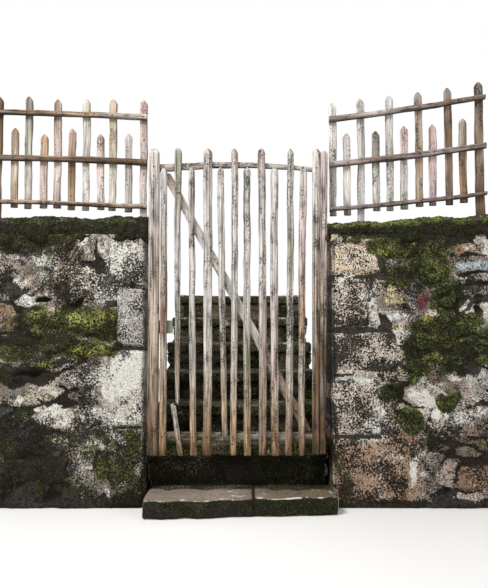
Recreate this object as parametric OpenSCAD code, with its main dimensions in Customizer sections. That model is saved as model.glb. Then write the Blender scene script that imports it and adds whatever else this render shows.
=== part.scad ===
// Cleft-pale garden gate between two rubble wall ends, with fence panels on the walls,
// a granite threshold and a flight of stone steps behind.
// X runs along the walls, Y away from the lane, Z up; the origin is on the ground, in the
// middle of the opening, under the front face of the walls.

/* [Walls] */
// Clear width between the two jambs
opening_w = 925; // [860:5:1100]
// Length of each wall, from its jamb to its outer end
wall_len = 850; // [780:10:1600]
// Thickness of the walls
wall_t = 450; // [350:10:600]
// Height of the masonry under the coping
wall_h = 1350; // [1340:5:1600]
// Thickness of the coping of the left wall at the opening
left_coping_h = 112; // [40:2:120]
// Thickness of the coping of the right wall at the opening
right_coping_h = 72; // [40:2:120]
// Extra thickness of the right coping at its outer end
right_coping_rise = 54; // [0:2:80]
// How far the coping overhangs the wall faces
coping_out = 14; // [4:2:40]
// How deep the rubble stones are rooted in the wall
stone_root = 20; // [10:2:40]
// Widest worn border round the face of a rubble stone
stone_border = 40; // [20:2:60]

/* [Jamb stones] */
// Usual length of a jamb stone along the wall
stone_l = 200; // [150:10:240]
// Mortar bed between two jamb stones
bed = 12; // [12:1:20]
// How far a bed is raked back from the face of the stones
bed_back = 8; // [2:1:20]
// How far the jamb stones stand proud of the wall faces
stone_proud = 6; // [2:1:20]
// Corner radius of a jamb stone
stone_r = 22; // [8:2:40]
// Width of the worn arris round the face of a jamb stone
stone_arris = 12; // [4:2:20]

/* [Threshold] */
// Thickness of the threshold slabs
slab_t = 88; // [50:2:150]
// How far the slabs stand out of the wall at the left end
slab_out_left = 225; // [120:5:300]
// How far the slabs stand out of the wall at the right end
slab_out_right = 130; // [100:10:300]
// Gap between the left jamb and the end of the left slab
slab_left_gap = 20; // [4:1:30]
// How far the right slab runs past the jamb, in front of the wall
slab_over = 16; // [0:1:40]
// Place of the joint between the two slabs, right of the middle
slab_joint_x = 75; // [-100:5:150]
// Width of that joint
slab_joint = 6; // [2:1:12]
// Gap between the right slab and the right jamb
slab_jamb_gap = 4; // [2:1:10]
// Worn edge along the top of the slabs
slab_edge = 12; // [4:2:20]

/* [Steps] */
// Number of steps
step_count = 6; // [3:1:9]
// Height of the first tread above the ground
first_tread_z = 301; // [280:5:400]
// Rise from one tread to the next
step_rise = 165; // [140:5:200]
// Depth from one nosing to the next
step_going = 280; // [240:10:340]
// Place of the first nosing behind the front face of the walls
first_nosing_y = 120; // [115:5:180]
// Thickness of the tread stones
tread_t = 70; // [40:5:100]
// How far a nosing stands in front of its riser
nosing = 20; // [0:5:40]
// Radius of the worn nosings
nosing_r = 16; // [6:2:24]
// Depth of the last tread
last_tread = 330; // [250:10:600]

/* [Gate leaf] */
// Gap between the leaf and the left jamb
left_gap = 10; // [10:0.5:30]
// Gap between the leaf and the right jamb at the top
right_gap = 9; // [9:0.5:30]
// How far the right stiles lean to the left at the foot
right_lean = 21; // [10:1:30]
// Height of the lower ends of the pales
leaf_z = 251; // [200:1:260]
// Length of the tall pales
tall_l = 1540; // [1400:10:1700]
// Length by which the short pales fall below the tall ones
short_drop = 95; // [40:5:160]
// Width of the left stile
left_stile_w = 57; // [40:1:60]
// Width of the right stile beside the pales
inner_stile_w = 40; // [34:2:44]
// Width of the right stile beside the jamb
outer_stile_w = 38; // [34:2:44]
// Thickness of the stiles
stile_t = 36; // [30:1:36]
// Thickness of the pales
pale_t = 25; // [18:1:30]
// Depth of the rail faces behind the front face of the walls
rail_y = 40; // [40:1:60]
// Thickness of the rails
rail_t = 28; // [20:1:36]
// Height of the middle of the bottom rail above the lower ends of the pales
bottom_rail_up = 94; // [90:2:160]
// Width of the bottom rail
bottom_rail_w = 45; // [30:1:60]
// Depth of the middle of the top rail below the tops of the tall pales
top_rail_down = 102; // [80:2:200]
// Width of the top rail at its thick left end
top_rail_w = 40; // [30:1:50]
// Width of the top rail at its thin right end
top_rail_thin_w = 22; // [16:1:30]
// Upward bow of the top rail
top_rail_bow = 24; // [0:2:50]
// Width of the brace
brace_w = 46; // [30:1:60]
// Thickness of the brace
brace_t = 24; // [16:1:28]
// Width of the long split in the brace
split_w = 5; // [1:0.5:8]
// Depth of that split
split_d = 15; // [5:1:20]
// Height of the break in the broken pale above the lower ends of the pales
break_up = 244; // [200:2:500]
// Length of the splinters at the break
splinter = 20; // [8:1:40]

/* [Hinges and lock] */
// Radius of the hook pins
pin_r = 5; // [4:0.5:6]
// Clearance round a pin in its eye
pin_gap = 0.6; // [0.3:0.1:1]
// Radius of the eyes
eye_r = 10; // [9:0.5:11]
// Height of an eye
eye_h = 18; // [12:1:30]
// Radius of the iron that is driven into wood and stone
shank_r = 5; // [4:0.5:5.5]
// Length of a shank inside the jamb
shank_l = 90; // [60:5:150]
// Distance from the pins to the right jamb
pin_in = 15.5; // [15.5:0.5:20]
// Depth of the pins behind the front face of the walls
pin_y = 10; // [8:0.5:12]
// Length of a pin above its eye
pin_over = 14; // [4:1:30]
// Length of an eye's tang inside the stile
tang_l = 26; // [16:1:28]
// Radius of a tang
tang_r = 4; // [2.5:0.5:4.5]
// Width of the lock case
lock_w = 95; // [80:1:110]
// Height of the lock case
lock_h = 65; // [50:1:90]
// Thickness of the lock case
lock_t = 18; // [12:1:24]
// Height of the middle of the lock case above the lower ends of the pales
lock_up = 636; // [500:2:800]

/* [Fence panels] */
// Depth of the joint between rails and pales behind the front face of the walls
fence_y = 90; // [80:5:200]
// Distance from the last pale of a panel to the outer end of its wall
fence_margin = 74; // [50:2:140]
// Distance from the edge of the opening to the first pale
fence_start = 26; // [24:1:40]
// Number of pales in a panel
fence_count = 11; // [5:2:11]
// Width of a fence pale
fence_pale_w = 40; // [26:1:44]
// Thickness of a fence pale
fence_pale_t = 24; // [16:1:30]
// Width of a fence rail
fence_rail_w = 31; // [20:1:40]
// Thickness of a fence rail
fence_rail_t = 26; // [18:1:34]
// Height of the bottom rail above the masonry
fence_low = 150; // [130:5:200]
// Height from the bottom rail to the middle rail
fence_mid = 230; // [180:5:280]
// Height from the bottom rail to the top rail
fence_high = 466; // [400:5:520]
// Height of the tall pales above the top rail
fence_over = 88; // [50:2:140]
// How far the left panel's pales reach below the middle of the bottom rail
left_pale_under = 22; // [18:2:40]
// How far the right panel's pales reach below the middle of the bottom rail
right_pale_under = 34; // [18:2:40]
// Length by which the short fence pales fall below the tall ones
fence_drop = 166; // [100:5:220]
// Rise of the left panel's rails for each metre away from the opening
left_fence_rise = 35; // [0:5:80]
// Rise of the right panel's bottom rail for each metre away from the opening
right_fence_rise = 103; // [0:1:160]
// How much more the right panel's top rail rises than its bottom rail, for each metre
right_fence_spread = 45; // [0:5:60]
// How much lower the right panel stands than the left one
right_fence_down = 11; // [0:1:20]
// Width of the post at the end of the right panel
end_post_w = 46; // [36:1:54]
// Length of the rails beyond the last pale
rail_over = 36; // [10:2:48]
// How deep the feet of the fence stand in the coping
foot_in = 40; // [20:5:40]

/* [Hidden] */
$fn = 32;
half = opening_w / 2;
wall_end = half + wall_len;
leaf_left = -half + left_gap;
leaf_right = half - right_gap;
leaf_top = leaf_z + tall_l;
short_top = leaf_top - short_drop;
pin_x = half - pin_in;
arc_steps = 3; // points on each rounded corner, less one

// Round point of a stick: share of its width, of the point's length and of the stick's thickness
tip_rings = [[0.86, 0.52, 0.9], [0.5, 1, 0.62]];
// Worn border of a rubble stone: share of its stand-out and of the border's width
border_rings = [[1, 1], [0.55, 0.3]];
back_share = 0.8; // how far a stone stands out at the back, of what it stands out in front
stone_fit = 1.03; // makes eight points cover as much as the stone's sizes say
stone_round = 0.6; // shape of a rubble stone: 0 is a box, 1 an oval

// Tops of the jamb stones as shares of the masonry, and their lengths as shares of the usual one,
// bottom stone first
left_stones = [[0.285, 0.74], [0.574, 0.89], [0.804, 0.725], [0.987, 0.95]];
right_stones = [[0.251, 2], [0.474, 1.265], [0.646, 1.685], [0.8385, 0.99], [0.9696, 1.225]];
low_hook_z = right_stones[0][0] * wall_h + bed / 2;
high_hook_z = right_stones[4][0] * wall_h + bed / 2;

// Small differences of the gate pales, left to right: sideways at the top, lean to the foot,
// bow in the middle, width at the top, width at the foot, and how far the foot is cut short
gate_pales = [
    [0, 1, 2, 35, 36, 0], [2, 3, -3, 35, 22, break_up], [-1, 16, -2, 31, 32, 2],
    [11, 0, 3, 45, 42, 0], [6, 23, -4, 35, 28, 92], [6, -7, 3, 35, 32, 3],
    [-1, 0, -2, 36, 35, 0], [1, 2, 4, 38, 37, 2], [-4, 1, -3, 38, 38, 0],
    [8, -16, 3, 33, 35, 2], [0, -13, -2, 37, 30, 0]];
// Sideways shift and height shift of the fence pales, from the opening outwards
left_fence_shift = [[1, 7], [4, -6], [9, 6], [-3, -14], [-3, 2], [-5, 10], [-3, -4], [-13, -24], [-3, 6],
    [-10, 4], [0, 0]];
right_fence_shift = [[0, -1], [-1, -2], [-4, 1], [-2, -14], [-6, -4], [-6, -10], [-6, -7], [-7, -23], [-2, -8],
    [0, -16], [10, 0]];

// The larger stones and moss cushions of the rubble: distance from the jamb, height, half width,
// half height and how far they stand out, on a wall of the length and height below
forms_len = 850;
forms_h = 1350;
left_rubble = [
    [319, 1272, 88, 66, 14], [303, 1112, 78, 80, 10], [633, 1222, 76, 38, 9], [726, 1118, 88, 48, 8],
    [580, 1095, 50, 58, 12], [506, 1200, 36, 50, 6], [468, 1085, 46, 52, 5], [344, 648, 118, 72, 14],
    [473, 505, 82, 44, 9], [303, 498, 78, 50, 10], [628, 572, 62, 54, 8], [273, 375, 82, 44, 6],
    [420, 398, 56, 40, 6], [706, 752, 100, 66, 10], [538, 686, 58, 54, 8], [300, 915, 138, 58, 30],
    [328, 766, 96, 32, 30], [538, 905, 84, 60, 16], [728, 930, 92, 78, 12], [498, 785, 66, 36, 8],
    [338, 240, 108, 76, 9], [578, 300, 96, 76, 9], [628, 440, 70, 38, 6], [242, 100, 84, 56, 7],
    [453, 84, 104, 62, 7], [688, 120, 112, 84, 7], [774, 400, 68, 76, 7], [718, 1306, 110, 34, 10],
    [498, 1305, 80, 34, 8]];
right_rubble = [
    [325, 1055, 60, 62, 15], [459, 1022, 42, 52, 7], [356, 933, 76, 35, 10], [716, 1272, 122, 38, 12],
    [724, 1192, 118, 27, 10], [730, 1134, 110, 24, 12], [743, 1072, 100, 29, 9], [670, 990, 40, 46, 6],
    [810, 968, 32, 62, 7], [595, 552, 64, 50, 28], [402, 458, 98, 64, 30], [306, 600, 46, 40, 24],
    [528, 338, 46, 34, 18], [450, 584, 36, 22, 8], [714, 378, 120, 112, 16], [703, 145, 130, 76, 14],
    [498, 205, 68, 84, 10], [753, 560, 82, 50, 10], [434, 822, 80, 54, 20], [613, 876, 84, 58, 24],
    [594, 728, 80, 50, 20], [768, 856, 62, 44, 9], [753, 722, 70, 52, 10], [400, 700, 50, 44, 8],
    [350, 1190, 88, 54, 10], [510, 1165, 64, 66, 22], [374, 1302, 84, 34, 12], [532, 1292, 54, 38, 12],
    [473, 60, 58, 36, 7], [568, 1030, 50, 52, 22]];
// Holes where a stone is missing from the front: the same values, and how deep
left_holes = [[523, 1010, 40, 16, 36], [336, 1012, 38, 14, 30]];
right_holes = [[746, 970, 22, 32, 36]];

stone_grey = "#b3afa4";
moss_green = "#56603a";
wood_grey = "#9c8d80";
rail_brown = "#8a7468";
iron_brown = "#5d4436";

// A closed skin over rings of points, each ring turning the same way
module loft(rings) {
    n = len(rings[0]);
    m = len(rings);
    sides = [for (i = [0:m - 2]) for (j = [0:n - 1]) let (k = (j + 1) % n) each [
        [i * n + j, (i + 1) * n + j, (i + 1) * n + k],
        [i * n + j, (i + 1) * n + k, i * n + k]]];
    first = [[for (j = [0:n - 1]) j]];
    last = [[for (j = [n - 1:-1:0]) (m - 1) * n + j]];
    polyhedron(points = [for (r = rings) each r], faces = concat(sides, first, last));
}

// Section of a cleft stick: flat at depth v, ridged on the other side; side is 1 or -1
function cleft(u0, u1, v, t, side, ridge) = let (w = u1 - u0, d = side * t)
    side > 0
        ? [[u0, v], [u1, v], [u1, v + d * 0.5], [u0 + w * (ridge + 0.2), v + d * 0.94],
            [u0 + w * (ridge - 0.15), v + d], [u0, v + d * 0.45]]
        : [[u1, v], [u0, v], [u0, v + d * 0.45], [u0 + w * (ridge - 0.15), v + d],
            [u0 + w * (ridge + 0.2), v + d * 0.94], [u1, v + d * 0.5]];

// Share of the ridge across the stick, different for every number k
function ridge_of(k) = 0.3 + 0.35 * (k * 0.618 - floor(k * 0.618));

// Rings of an upright stick: centre and width run from foot to top, with a bow between
function stick_rings(x, w, z, v, t, side, bow, tip, k) = let (bends = 5, zt = z[1] - tip)
    concat(
        [for (i = [0:bends]) let (s = i / bends, c = x[0] + (x[1] - x[0]) * s + bow * sin(180 * s),
            h = (w[0] + (w[1] - w[0]) * s) / 2)
            [for (p = cleft(c - h, c + h, v, t, side, ridge_of(k))) [p[0], p[1], z[0] + (zt - z[0]) * s]]],
        tip == 0 ? [] : [for (e = tip_rings)
            [for (p = cleft(x[1] - w[1] * e[0] / 2 - w[1] * 0.05, x[1] + w[1] * e[0] / 2, v, t * e[2], side,
                ridge_of(k))) [p[0], p[1], zt + tip * e[1]]]]);

// An upright stick with a round point
module stick(x, w, z, v, t, side, bow = 0, tip = 20, k = 1) {
    loft(stick_rings(x, w, z, v, t, side, bow, tip, k));
}

// A rail along X: height and width run from end to end, with an upward bow
module rail(x, z, w, v, t, side, bow = 0, k = 1) {
    bends = 8;
    loft([for (i = [0:bends]) let (s = i / bends, c = z[0] + (z[1] - z[0]) * s + bow * sin(180 * s),
        h = (w[0] + (w[1] - w[0]) * s) / 2)
        [for (p = cleft(-c - h, -c + h, v, t, side, ridge_of(k))) [x[0] + (x[1] - x[0]) * s, p[1], -p[0]]]]);
}

// Outline of a block with rounded corners, anticlockwise
function block_outline(x0, x1, z0, z1, r) = [for (c = [[x1 - r, z0 + r, -90], [x1 - r, z1 - r, 0],
    [x0 + r, z1 - r, 90], [x0 + r, z0 + r, 180]]) for (i = [0:arc_steps])
    let (a = c[2] + 90 * i / arc_steps) [c[0] + r * cos(a), c[1] + r * sin(a)]];

// Spans of the jamb stones on one side: x from opening to inner end, z from bottom to top
function stone_spans(stones, side) = [for (i = [0:len(stones) - 1])
    [side * half, side * (half + stones[i][1] * stone_l),
        i == 0 ? 0 : stones[i - 1][0] * wall_h + bed, stones[i][0] * wall_h]];

function span_outline(s, inset) = block_outline(min(s[0], s[1]) + inset, max(s[0], s[1]) - inset,
    s[2] + inset, s[3] - inset, stone_r - inset / 2);

// One jamb stone through the wall, with worn edges on both faces
module jamb_stone(s) {
    rings = [[-stone_proud, stone_arris * 0.9], [stone_arris, 0], [wall_t - stone_arris, 0],
        [wall_t + stone_proud, stone_arris * 0.9]];
    loft([for (r = rings) [for (p = span_outline(s, r[1])) [-p[0], r[0], p[1]]]]);
}

module jamb_stones(stones, side) {
    mirror([1, 0, 0]) for (s = stone_spans(stones, side)) jamb_stone(s);
}

// Outline of rubble stone number k: eight points round its middle, anticlockwise, each moved a little
function rubble_outline(f, k, inset) = [for (i = [0:7]) let (t = 22.5 + 45 * i, j = 1 + 0.04 * sin(k * 47 + i * 131))
    [half + f[0] * wall_len / forms_len + (f[2] - inset) * j * stone_fit * sign(cos(t)) * pow(abs(cos(t)), stone_round),
        f[1] * wall_h / forms_h + (f[3] - inset) * j * stone_fit * sign(sin(t)) * pow(abs(sin(t)), stone_round)]];

// Stone number k of the front face: a worn border round a flat face, rooted in the wall
module rubble_stone(f, k) {
    border = min(f[3] / 2, stone_border);
    rings = concat([for (b = border_rings) [-f[4] * b[0], border * b[1]]], [[stone_root, 0]]);
    loft([for (r = rings) [for (p = rubble_outline(f, k, r[1])) [-p[0], r[0], p[1]]]]);
}

// The same stone where it comes out at the back, less worked
module rubble_back(f, k) {
    loft([for (r = [[wall_t - stone_root, 0], [wall_t + f[4] * back_share, min(f[3] / 3, stone_border)]])
        [for (p = rubble_outline(f, k, r[1])) [-p[0], r[0], p[1]]]]);
}

module rubble_hole(f, k) {
    loft([for (r = [[-stone_root, 0], [f[4], f[3] / 3]]) [for (p = rubble_outline(f, k, r[1])) [-p[0], r[0], p[1]]]]);
}

// Rubble wall with through pockets for its jamb stones
module wall(stones, rubble, holes, side) {
    difference() {
        union() {
            translate([side > 0 ? half + bed_back : -wall_end, 0, 0])
                cube([wall_len - bed_back, wall_t, wall_h]);
            mirror([side > 0 ? 1 : 0, 0, 0]) for (k = [0:len(rubble) - 1]) {
                rubble_stone(rubble[k], k);
                rubble_back(rubble[k], k);
            }
        }
        mirror([side > 0 ? 1 : 0, 0, 0]) for (k = [0:len(holes) - 1]) rubble_hole(holes[k], k);
        for (s = stone_spans(stones, side))
            translate([0, wall_t + 1, 0]) rotate([90, 0, 0]) linear_extrude(wall_t + 2)
                polygon(span_outline(s, 0));
        if (side > 0) hinge_hook_shanks();
    }
}

module left_wall() color(stone_grey) wall(left_stones, left_rubble, left_holes, -1);
module right_wall() color(stone_grey) wall(right_stones, right_rubble, right_holes, 1);
module left_jamb_stones() color(stone_grey) jamb_stones(left_stones, -1);
module right_jamb_stones() color(stone_grey) jamb_stones(right_stones, 1);

// Height of the coping at x, counted from the opening: an even slope with soft lumps
function coping_top(x, side) = let (d = abs(x) - half)
    (side > 0 ? right_coping_h + right_coping_rise * d / wall_len : left_coping_h)
    + 7 * sin(d * 0.9) + 4 * sin(d * 2.1 + 60);

// Mossy coping: a low mound of turf and flat stones along the wall top
module coping(side) {
    bays = 9;
    across = 8;
    mirror([side > 0 ? 0 : 1, 0, 0])
        loft([for (i = [0:bays]) let (x = half + wall_len * i / bays, h = coping_top(x, side),
            w = wall_t / 2 + coping_out + 3 * sin(i * 77))
            concat([[x, wall_t / 2 - w, wall_h], [x, wall_t / 2 + w, wall_h]],
                [for (j = [1:across - 1]) let (a = 180 * j / across)
                    [x, wall_t / 2 + w * cos(a), wall_h + h * pow(sin(a), 0.45)]])]);
}

module left_coping() color(moss_green) difference() {
    coping(-1);
    fence_feet(-1);
}
module right_coping() color(moss_green) difference() {
    coping(1);
    fence_feet(1);
}

// Front edge of the threshold slabs at x
function slab_front(x) = -slab_out_left + (slab_out_left - slab_out_right) * (x + half) / opening_w;

// One threshold slab over an outline of four corners, anticlockwise
module slab(outline) {
    middle = (outline[0] + outline[1] + outline[2] + outline[3]) / 4;
    inset = [for (p = outline) p + (middle - p) * slab_edge / norm(middle - p)];
    loft([for (r = [[outline, 0], [outline, slab_t - slab_edge], [inset, slab_t]])
        [for (p = r[0]) [p[0], p[1], r[1]]]]);
}

// The right slab runs past the jamb in front of the wall, so it is cut out round the jamb
module jamb_cut(gap) {
    translate([half - gap, -stone_proud - gap, -1]) cube([slab_over + gap + 1, wall_t, slab_t + 2]);
}

module threshold_slabs() color(stone_grey) {
    back = first_nosing_y + nosing;
    cut = [slab_joint_x - slab_joint / 2, slab_joint_x + slab_joint / 2];
    left_end = -half + slab_left_gap;
    right_end = half + slab_over;
    slab([[left_end, slab_front(left_end)], [cut[0], slab_front(cut[0])], [cut[0], back], [left_end, back]]);
    difference() {
        slab([[cut[1], slab_front(cut[1])], [right_end, slab_front(right_end)], [right_end, back], [cut[1], back]]);
        jamb_cut(slab_jamb_gap);
    }
}

function nosing_y(i) = first_nosing_y + step_going * i;
function tread_z(i) = first_tread_z + step_rise * i;
stair_end = nosing_y(step_count - 1) + last_tread;

// Stepped masonry under the treads, down to the ground
module stair_base() color(stone_grey)
    translate([-half, 0, 0]) rotate([90, 0, 90]) linear_extrude(opening_w)
        polygon(concat([[nosing_y(0) + nosing, 0]],
            [for (i = [0:step_count - 1]) each [[nosing_y(i) + nosing, tread_z(i) - tread_t],
                [i == step_count - 1 ? stair_end : nosing_y(i + 1) + nosing, tread_z(i) - tread_t]]],
            [[stair_end, 0]]));

// Tread stone number i with a worn round nosing
module tread(i) {
    if (i < step_count) {
        front = nosing_y(i);
        back = i == step_count - 1 ? stair_end : nosing_y(i + 1) + nosing;
        top = tread_z(i);
        translate([-half, 0, 0]) rotate([90, 0, 90]) linear_extrude(opening_w)
            polygon(concat([[back, top], [back, top - tread_t], [front + nosing_r / 2, top - tread_t]],
                [for (a = [180, 150, 120, 90]) [front + nosing_r + nosing_r * cos(a),
                    top - nosing_r + nosing_r * sin(a)]]));
    }
}

module tread_1() color(stone_grey) tread(0);
module tread_2() color(stone_grey) tread(1);
module tread_3() color(stone_grey) tread(2);
module tread_4() color(stone_grey) tread(3);
module tread_5() color(stone_grey) tread(4);
module tread_6() color(stone_grey) tread(5);

// Fence panels: distance d is counted from the edge of the opening outwards
function fence_rise(side, up) = side > 0 ? right_fence_rise + right_fence_spread * up / fence_high : left_fence_rise;
function rail_z(d, side, up) = wall_h + fence_low + up - (side > 0 ? right_fence_down : 0)
    + fence_rise(side, up) * d / 1000;
function fence_shift(i, side) = side > 0 ? right_fence_shift[i] : left_fence_shift[i];
fence_pitch = (wall_len - fence_start - fence_margin) / (fence_count - 1);
function pale_d(i, side) = fence_start + fence_pitch * i + fence_shift(i, side)[0];
fence_end = fence_start + fence_pitch * (fence_count - 1);
function is_foot(i, side) = side > 0 ? i == 2 : (i == 0 || i == fence_count - 1);

// Fence pale number i; the ones that carry the panel stand in the coping
module fence_pale(i, side, w) {
    d = pale_d(i, side);
    tall = i % 2 == 0;
    top = rail_z(d, side, fence_high) + fence_over - (tall ? 0 : fence_drop) + fence_shift(i, side)[1];
    under = (side > 0 ? right_pale_under : left_pale_under) + 4 * sin(i * 100);
    low = is_foot(i, side) ? wall_h + coping_base(d, side) : rail_z(d, side, 0) - under;
    lean = 3 * sin(i * 140);
    stick([side * (half + d) + lean, side * (half + d)], [w * 0.92, w], [low, top],
        fence_y, fence_pale_t, 1, 2 * sin(i * 200), 22, i + 3);
}

// Level in the coping at which a foot stands
function coping_base(d, side) = coping_top(half + d, side) - foot_in;

module fence_rails(side) {
    for (r = [[0, 0.78, 0.2], [fence_mid, 1.1, 0.6], [fence_high, 1, 0.4]]) {
        z = [rail_z(0, side, r[0]), rail_z(fence_end + rail_over, side, r[0])];
        w = fence_rail_w * r[1];
        x0 = half + 6;
        x1 = half + fence_end + rail_over;
        if (side > 0) rail([x0, x1], z, [w, w * 0.9], fence_y, fence_rail_t, -1, -6, r[2] * 9);
        else rail([-x1, -x0], [z[1], z[0]], [w * 0.9, w], fence_y, fence_rail_t, -1, 4, r[2] * 9);
    }
}

module fence_pales(side, first) {
    last = side > 0 && first == 0 ? fence_count - 2 : fence_count - 1;
    for (i = [first:2:last]) fence_pale(i, side, fence_pale_w);
}

module fence_end_post() {
    d = pale_d(fence_count - 1, 1);
    stick([half + d, half + d], [end_post_w, end_post_w * 0.9],
        [wall_h + coping_base(d, 1), rail_z(d, 1, fence_high) + fence_over],
        fence_y, fence_pale_t * 1.5, 1, 0, 12, 5);
}

// What stands in the coping of one wall
module fence_feet(side) {
    for (i = [0:fence_count - 1]) if (is_foot(i, side)) fence_pale(i, side, fence_pale_w);
    if (side > 0) fence_end_post();
}

module left_fence_rails() color(rail_brown) fence_rails(-1);
module left_fence_tall_pales() color(rail_brown) fence_pales(-1, 0);
module left_fence_short_pales() color(rail_brown) fence_pales(-1, 1);
module right_fence_rails() color(rail_brown) fence_rails(1);
module right_fence_tall_pales() color(rail_brown) fence_pales(1, 0);
module right_fence_short_pales() color(rail_brown) fence_pales(1, 1);
module right_fence_post() color(rail_brown) fence_end_post();

// Iron hooks in the beds of the right jamb
module hinge_hook_shanks() {
    for (z = [low_hook_z, high_hook_z])
        translate([half - 1, pin_y, z]) rotate([0, 90, 0]) cylinder(r = shank_r, h = shank_l + 1);
}

module hinge_hooks() color(iron_brown) for (z = [low_hook_z, high_hook_z]) {
    translate([pin_x, pin_y, z]) rotate([0, 90, 0]) cylinder(r = shank_r, h = pin_in + shank_l);
    translate([pin_x, pin_y, z]) sphere(r = shank_r);
    translate([pin_x, pin_y, z]) cylinder(r = pin_r, h = shank_r + pin_gap + eye_h + pin_over);
}

// Eyes of the leaf: they sit on the hooks and their tangs are driven into the outer stile
function eye_z(hook_z) = hook_z + shank_r + pin_gap;
tang_y = pin_y + eye_r - tang_r + 2;

module tangs(extra) {
    for (z = [low_hook_z, high_hook_z])
        translate([pin_x - eye_r - tang_l, tang_y, eye_z(z) + eye_h / 2]) rotate([0, 90, 0])
            cylinder(r = tang_r, h = tang_l + eye_r - tang_r + extra);
}

module hinge_eyes() color(iron_brown) difference() {
    union() {
        for (z = [low_hook_z, high_hook_z])
            translate([pin_x, pin_y, eye_z(z)]) cylinder(r = eye_r, h = eye_h);
        tangs(0);
    }
    for (z = [low_hook_z, high_hook_z])
        translate([pin_x, pin_y, eye_z(z) - 1]) cylinder(r = pin_r + pin_gap, h = eye_h + 2);
}

// Room for hooks and eyes at the edge of the outer stile
module eye_notches() {
    for (z = [low_hook_z, high_hook_z])
        translate([pin_x - eye_r - 6, -10, z - shank_r - 6])
            cube([60, pin_y + eye_r + 16, 2 * shank_r + eye_h + 34]);
}

module left_stile() color(wood_grey)
    stick([leaf_left + left_stile_w / 2, leaf_left + left_stile_w / 2], [left_stile_w, left_stile_w * 0.96],
        [leaf_z + 3, leaf_top - 5], rail_y, stile_t, -1, 2, 24, 2);

module inner_right_stile() color(wood_grey)
    stick([leaf_right - right_lean - outer_stile_w * 0.85 - inner_stile_w / 2 + 4,
        leaf_right - outer_stile_w - inner_stile_w / 2], [inner_stile_w * 0.85, inner_stile_w],
        [leaf_z + 10, leaf_top - 5], rail_y, stile_t, -1, 0, 22, 6);

module outer_right_stile() color(wood_grey) difference() {
    stick([leaf_right - right_lean - outer_stile_w * 0.4, leaf_right - outer_stile_w / 2],
        [outer_stile_w * 0.8, outer_stile_w], [leaf_z + 12, leaf_top - 15],
        rail_y, stile_t, -1, 0, 16, 9);
    eye_notches();
    tangs(1);
}

// Gate pales share the room between the stiles
first_pale_x = leaf_left + left_stile_w + 20;
last_pale_x = leaf_right - outer_stile_w - inner_stile_w - 47;
pale_count = len(gate_pales);
gate_pitch = (last_pale_x - first_pale_x) / (pale_count - 1);

module gate_pale(i) color(wood_grey) {
    p = gate_pales[i];
    top_x = first_pale_x + gate_pitch * i + p[0];
    stick([top_x + p[1], top_x], [p[4], p[3]], [leaf_z + p[5], i % 2 == 0 ? short_top : leaf_top],
        rail_y, pale_t - 2 * sin(i * 130), -1, p[2], 19 + 4 * sin(i * 90), i);
}

// Torn wood across a stick of width w at x, z: what lies beyond the splinters; way is 1 up or -1 down
module torn(x, z, w, way) {
    translate([x, rail_y + 1, z]) rotate([90, 0, 0]) linear_extrude(2 * pale_t)
        polygon([[-w, 2 * splinter * way], [-w, -splinter * way / 3], [-0.3 * w, splinter * way / 2],
            [-0.12 * w, -splinter * way / 2], [0.16 * w, splinter * way], [0.4 * w, 0],
            [w, splinter * way / 3], [w, 2 * splinter * way]]);
}

module pale_1() gate_pale(0);
module broken_pale() color(wood_grey) difference() {
    gate_pale(1);
    torn(first_pale_x + gate_pitch + gate_pales[1][0] + gate_pales[1][1],
        leaf_z + break_up + splinter, gate_pales[1][4], -1);
}
module pale_3() gate_pale(2);
module pale_4() gate_pale(3);
module pale_5() gate_pale(4);
module pale_6() gate_pale(5);
module pale_7() gate_pale(6);
module pale_8() gate_pale(7);
module pale_9() gate_pale(8);
module pale_10() gate_pale(9);
module pale_11() gate_pale(10);

// Broken foot of the second pale, leaning to the left from its nail in the bottom rail
module broken_pale_foot() color(wood_grey) {
    foot_x = first_pale_x + gate_pitch + 20;
    top_x = foot_x - 38;
    difference() {
        stick([foot_x, top_x], [26, 24], [leaf_z, leaf_z + break_up + splinter], rail_y, pale_t, -1, 0, 0, 4);
        torn(top_x, leaf_z + break_up, 24, 1);
    }
}

top_rail_z = leaf_top - top_rail_down;
bottom_rail_z = leaf_z + bottom_rail_up;

module gate_top_rail() color(wood_grey)
    rail([leaf_left + 3, leaf_right - 14], [top_rail_z + 1, top_rail_z - 7], [top_rail_w, top_rail_thin_w],
        rail_y, rail_t, 1, top_rail_bow, 3);

module gate_bottom_rail() color(wood_grey)
    rail([leaf_left + 3, leaf_right - 34], [bottom_rail_z, bottom_rail_z - 2],
        [bottom_rail_w, bottom_rail_w - 4], rail_y, rail_t, 1, -2, 5);

// Brace from under the left of the top rail down to the right of the bottom rail
module gate_brace() color(wood_grey) {
    slant = 1.15;
    foot = [last_pale_x + 16, bottom_rail_z + bottom_rail_w / 2 + 1];
    head = [leaf_left + left_stile_w + 27, top_rail_z - top_rail_w / 2 - 3];
    along = head - foot;
    across = [along[1], -along[0]] / norm(along) * split_w / 2;
    difference() {
        stick([foot[0], head[0]], [brace_w * slant, brace_w * slant * 0.9], [foot[1], head[1]],
            rail_y, brace_t, 1, 5, 0, 7);
        translate([0, rail_y + split_d, 0]) rotate([90, 0, 0]) linear_extrude(split_d + 1)
            polygon([foot + along * 0.3, foot + along * 0.6 + across, foot + along * 0.93,
                foot + along * 0.6 - across]);
    }
}

// Weathered rim lock behind the left stile
module lock_case() color(iron_brown) {
    z = leaf_z + lock_up;
    difference() {
        translate([leaf_left + left_stile_w / 2, rail_y, z - lock_h / 2]) cube([lock_w, lock_t, lock_h]);
        translate([leaf_left + left_stile_w + 22, rail_y - 1, z - 4]) rotate([-90, 0, 0])
            cylinder(r = 5, h = lock_t + 2);
    }
    translate([leaf_left + 4, rail_y + 3, z - 2]) cube([left_stile_w / 2 - 4, lock_t - 8, 22]);
}

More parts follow.
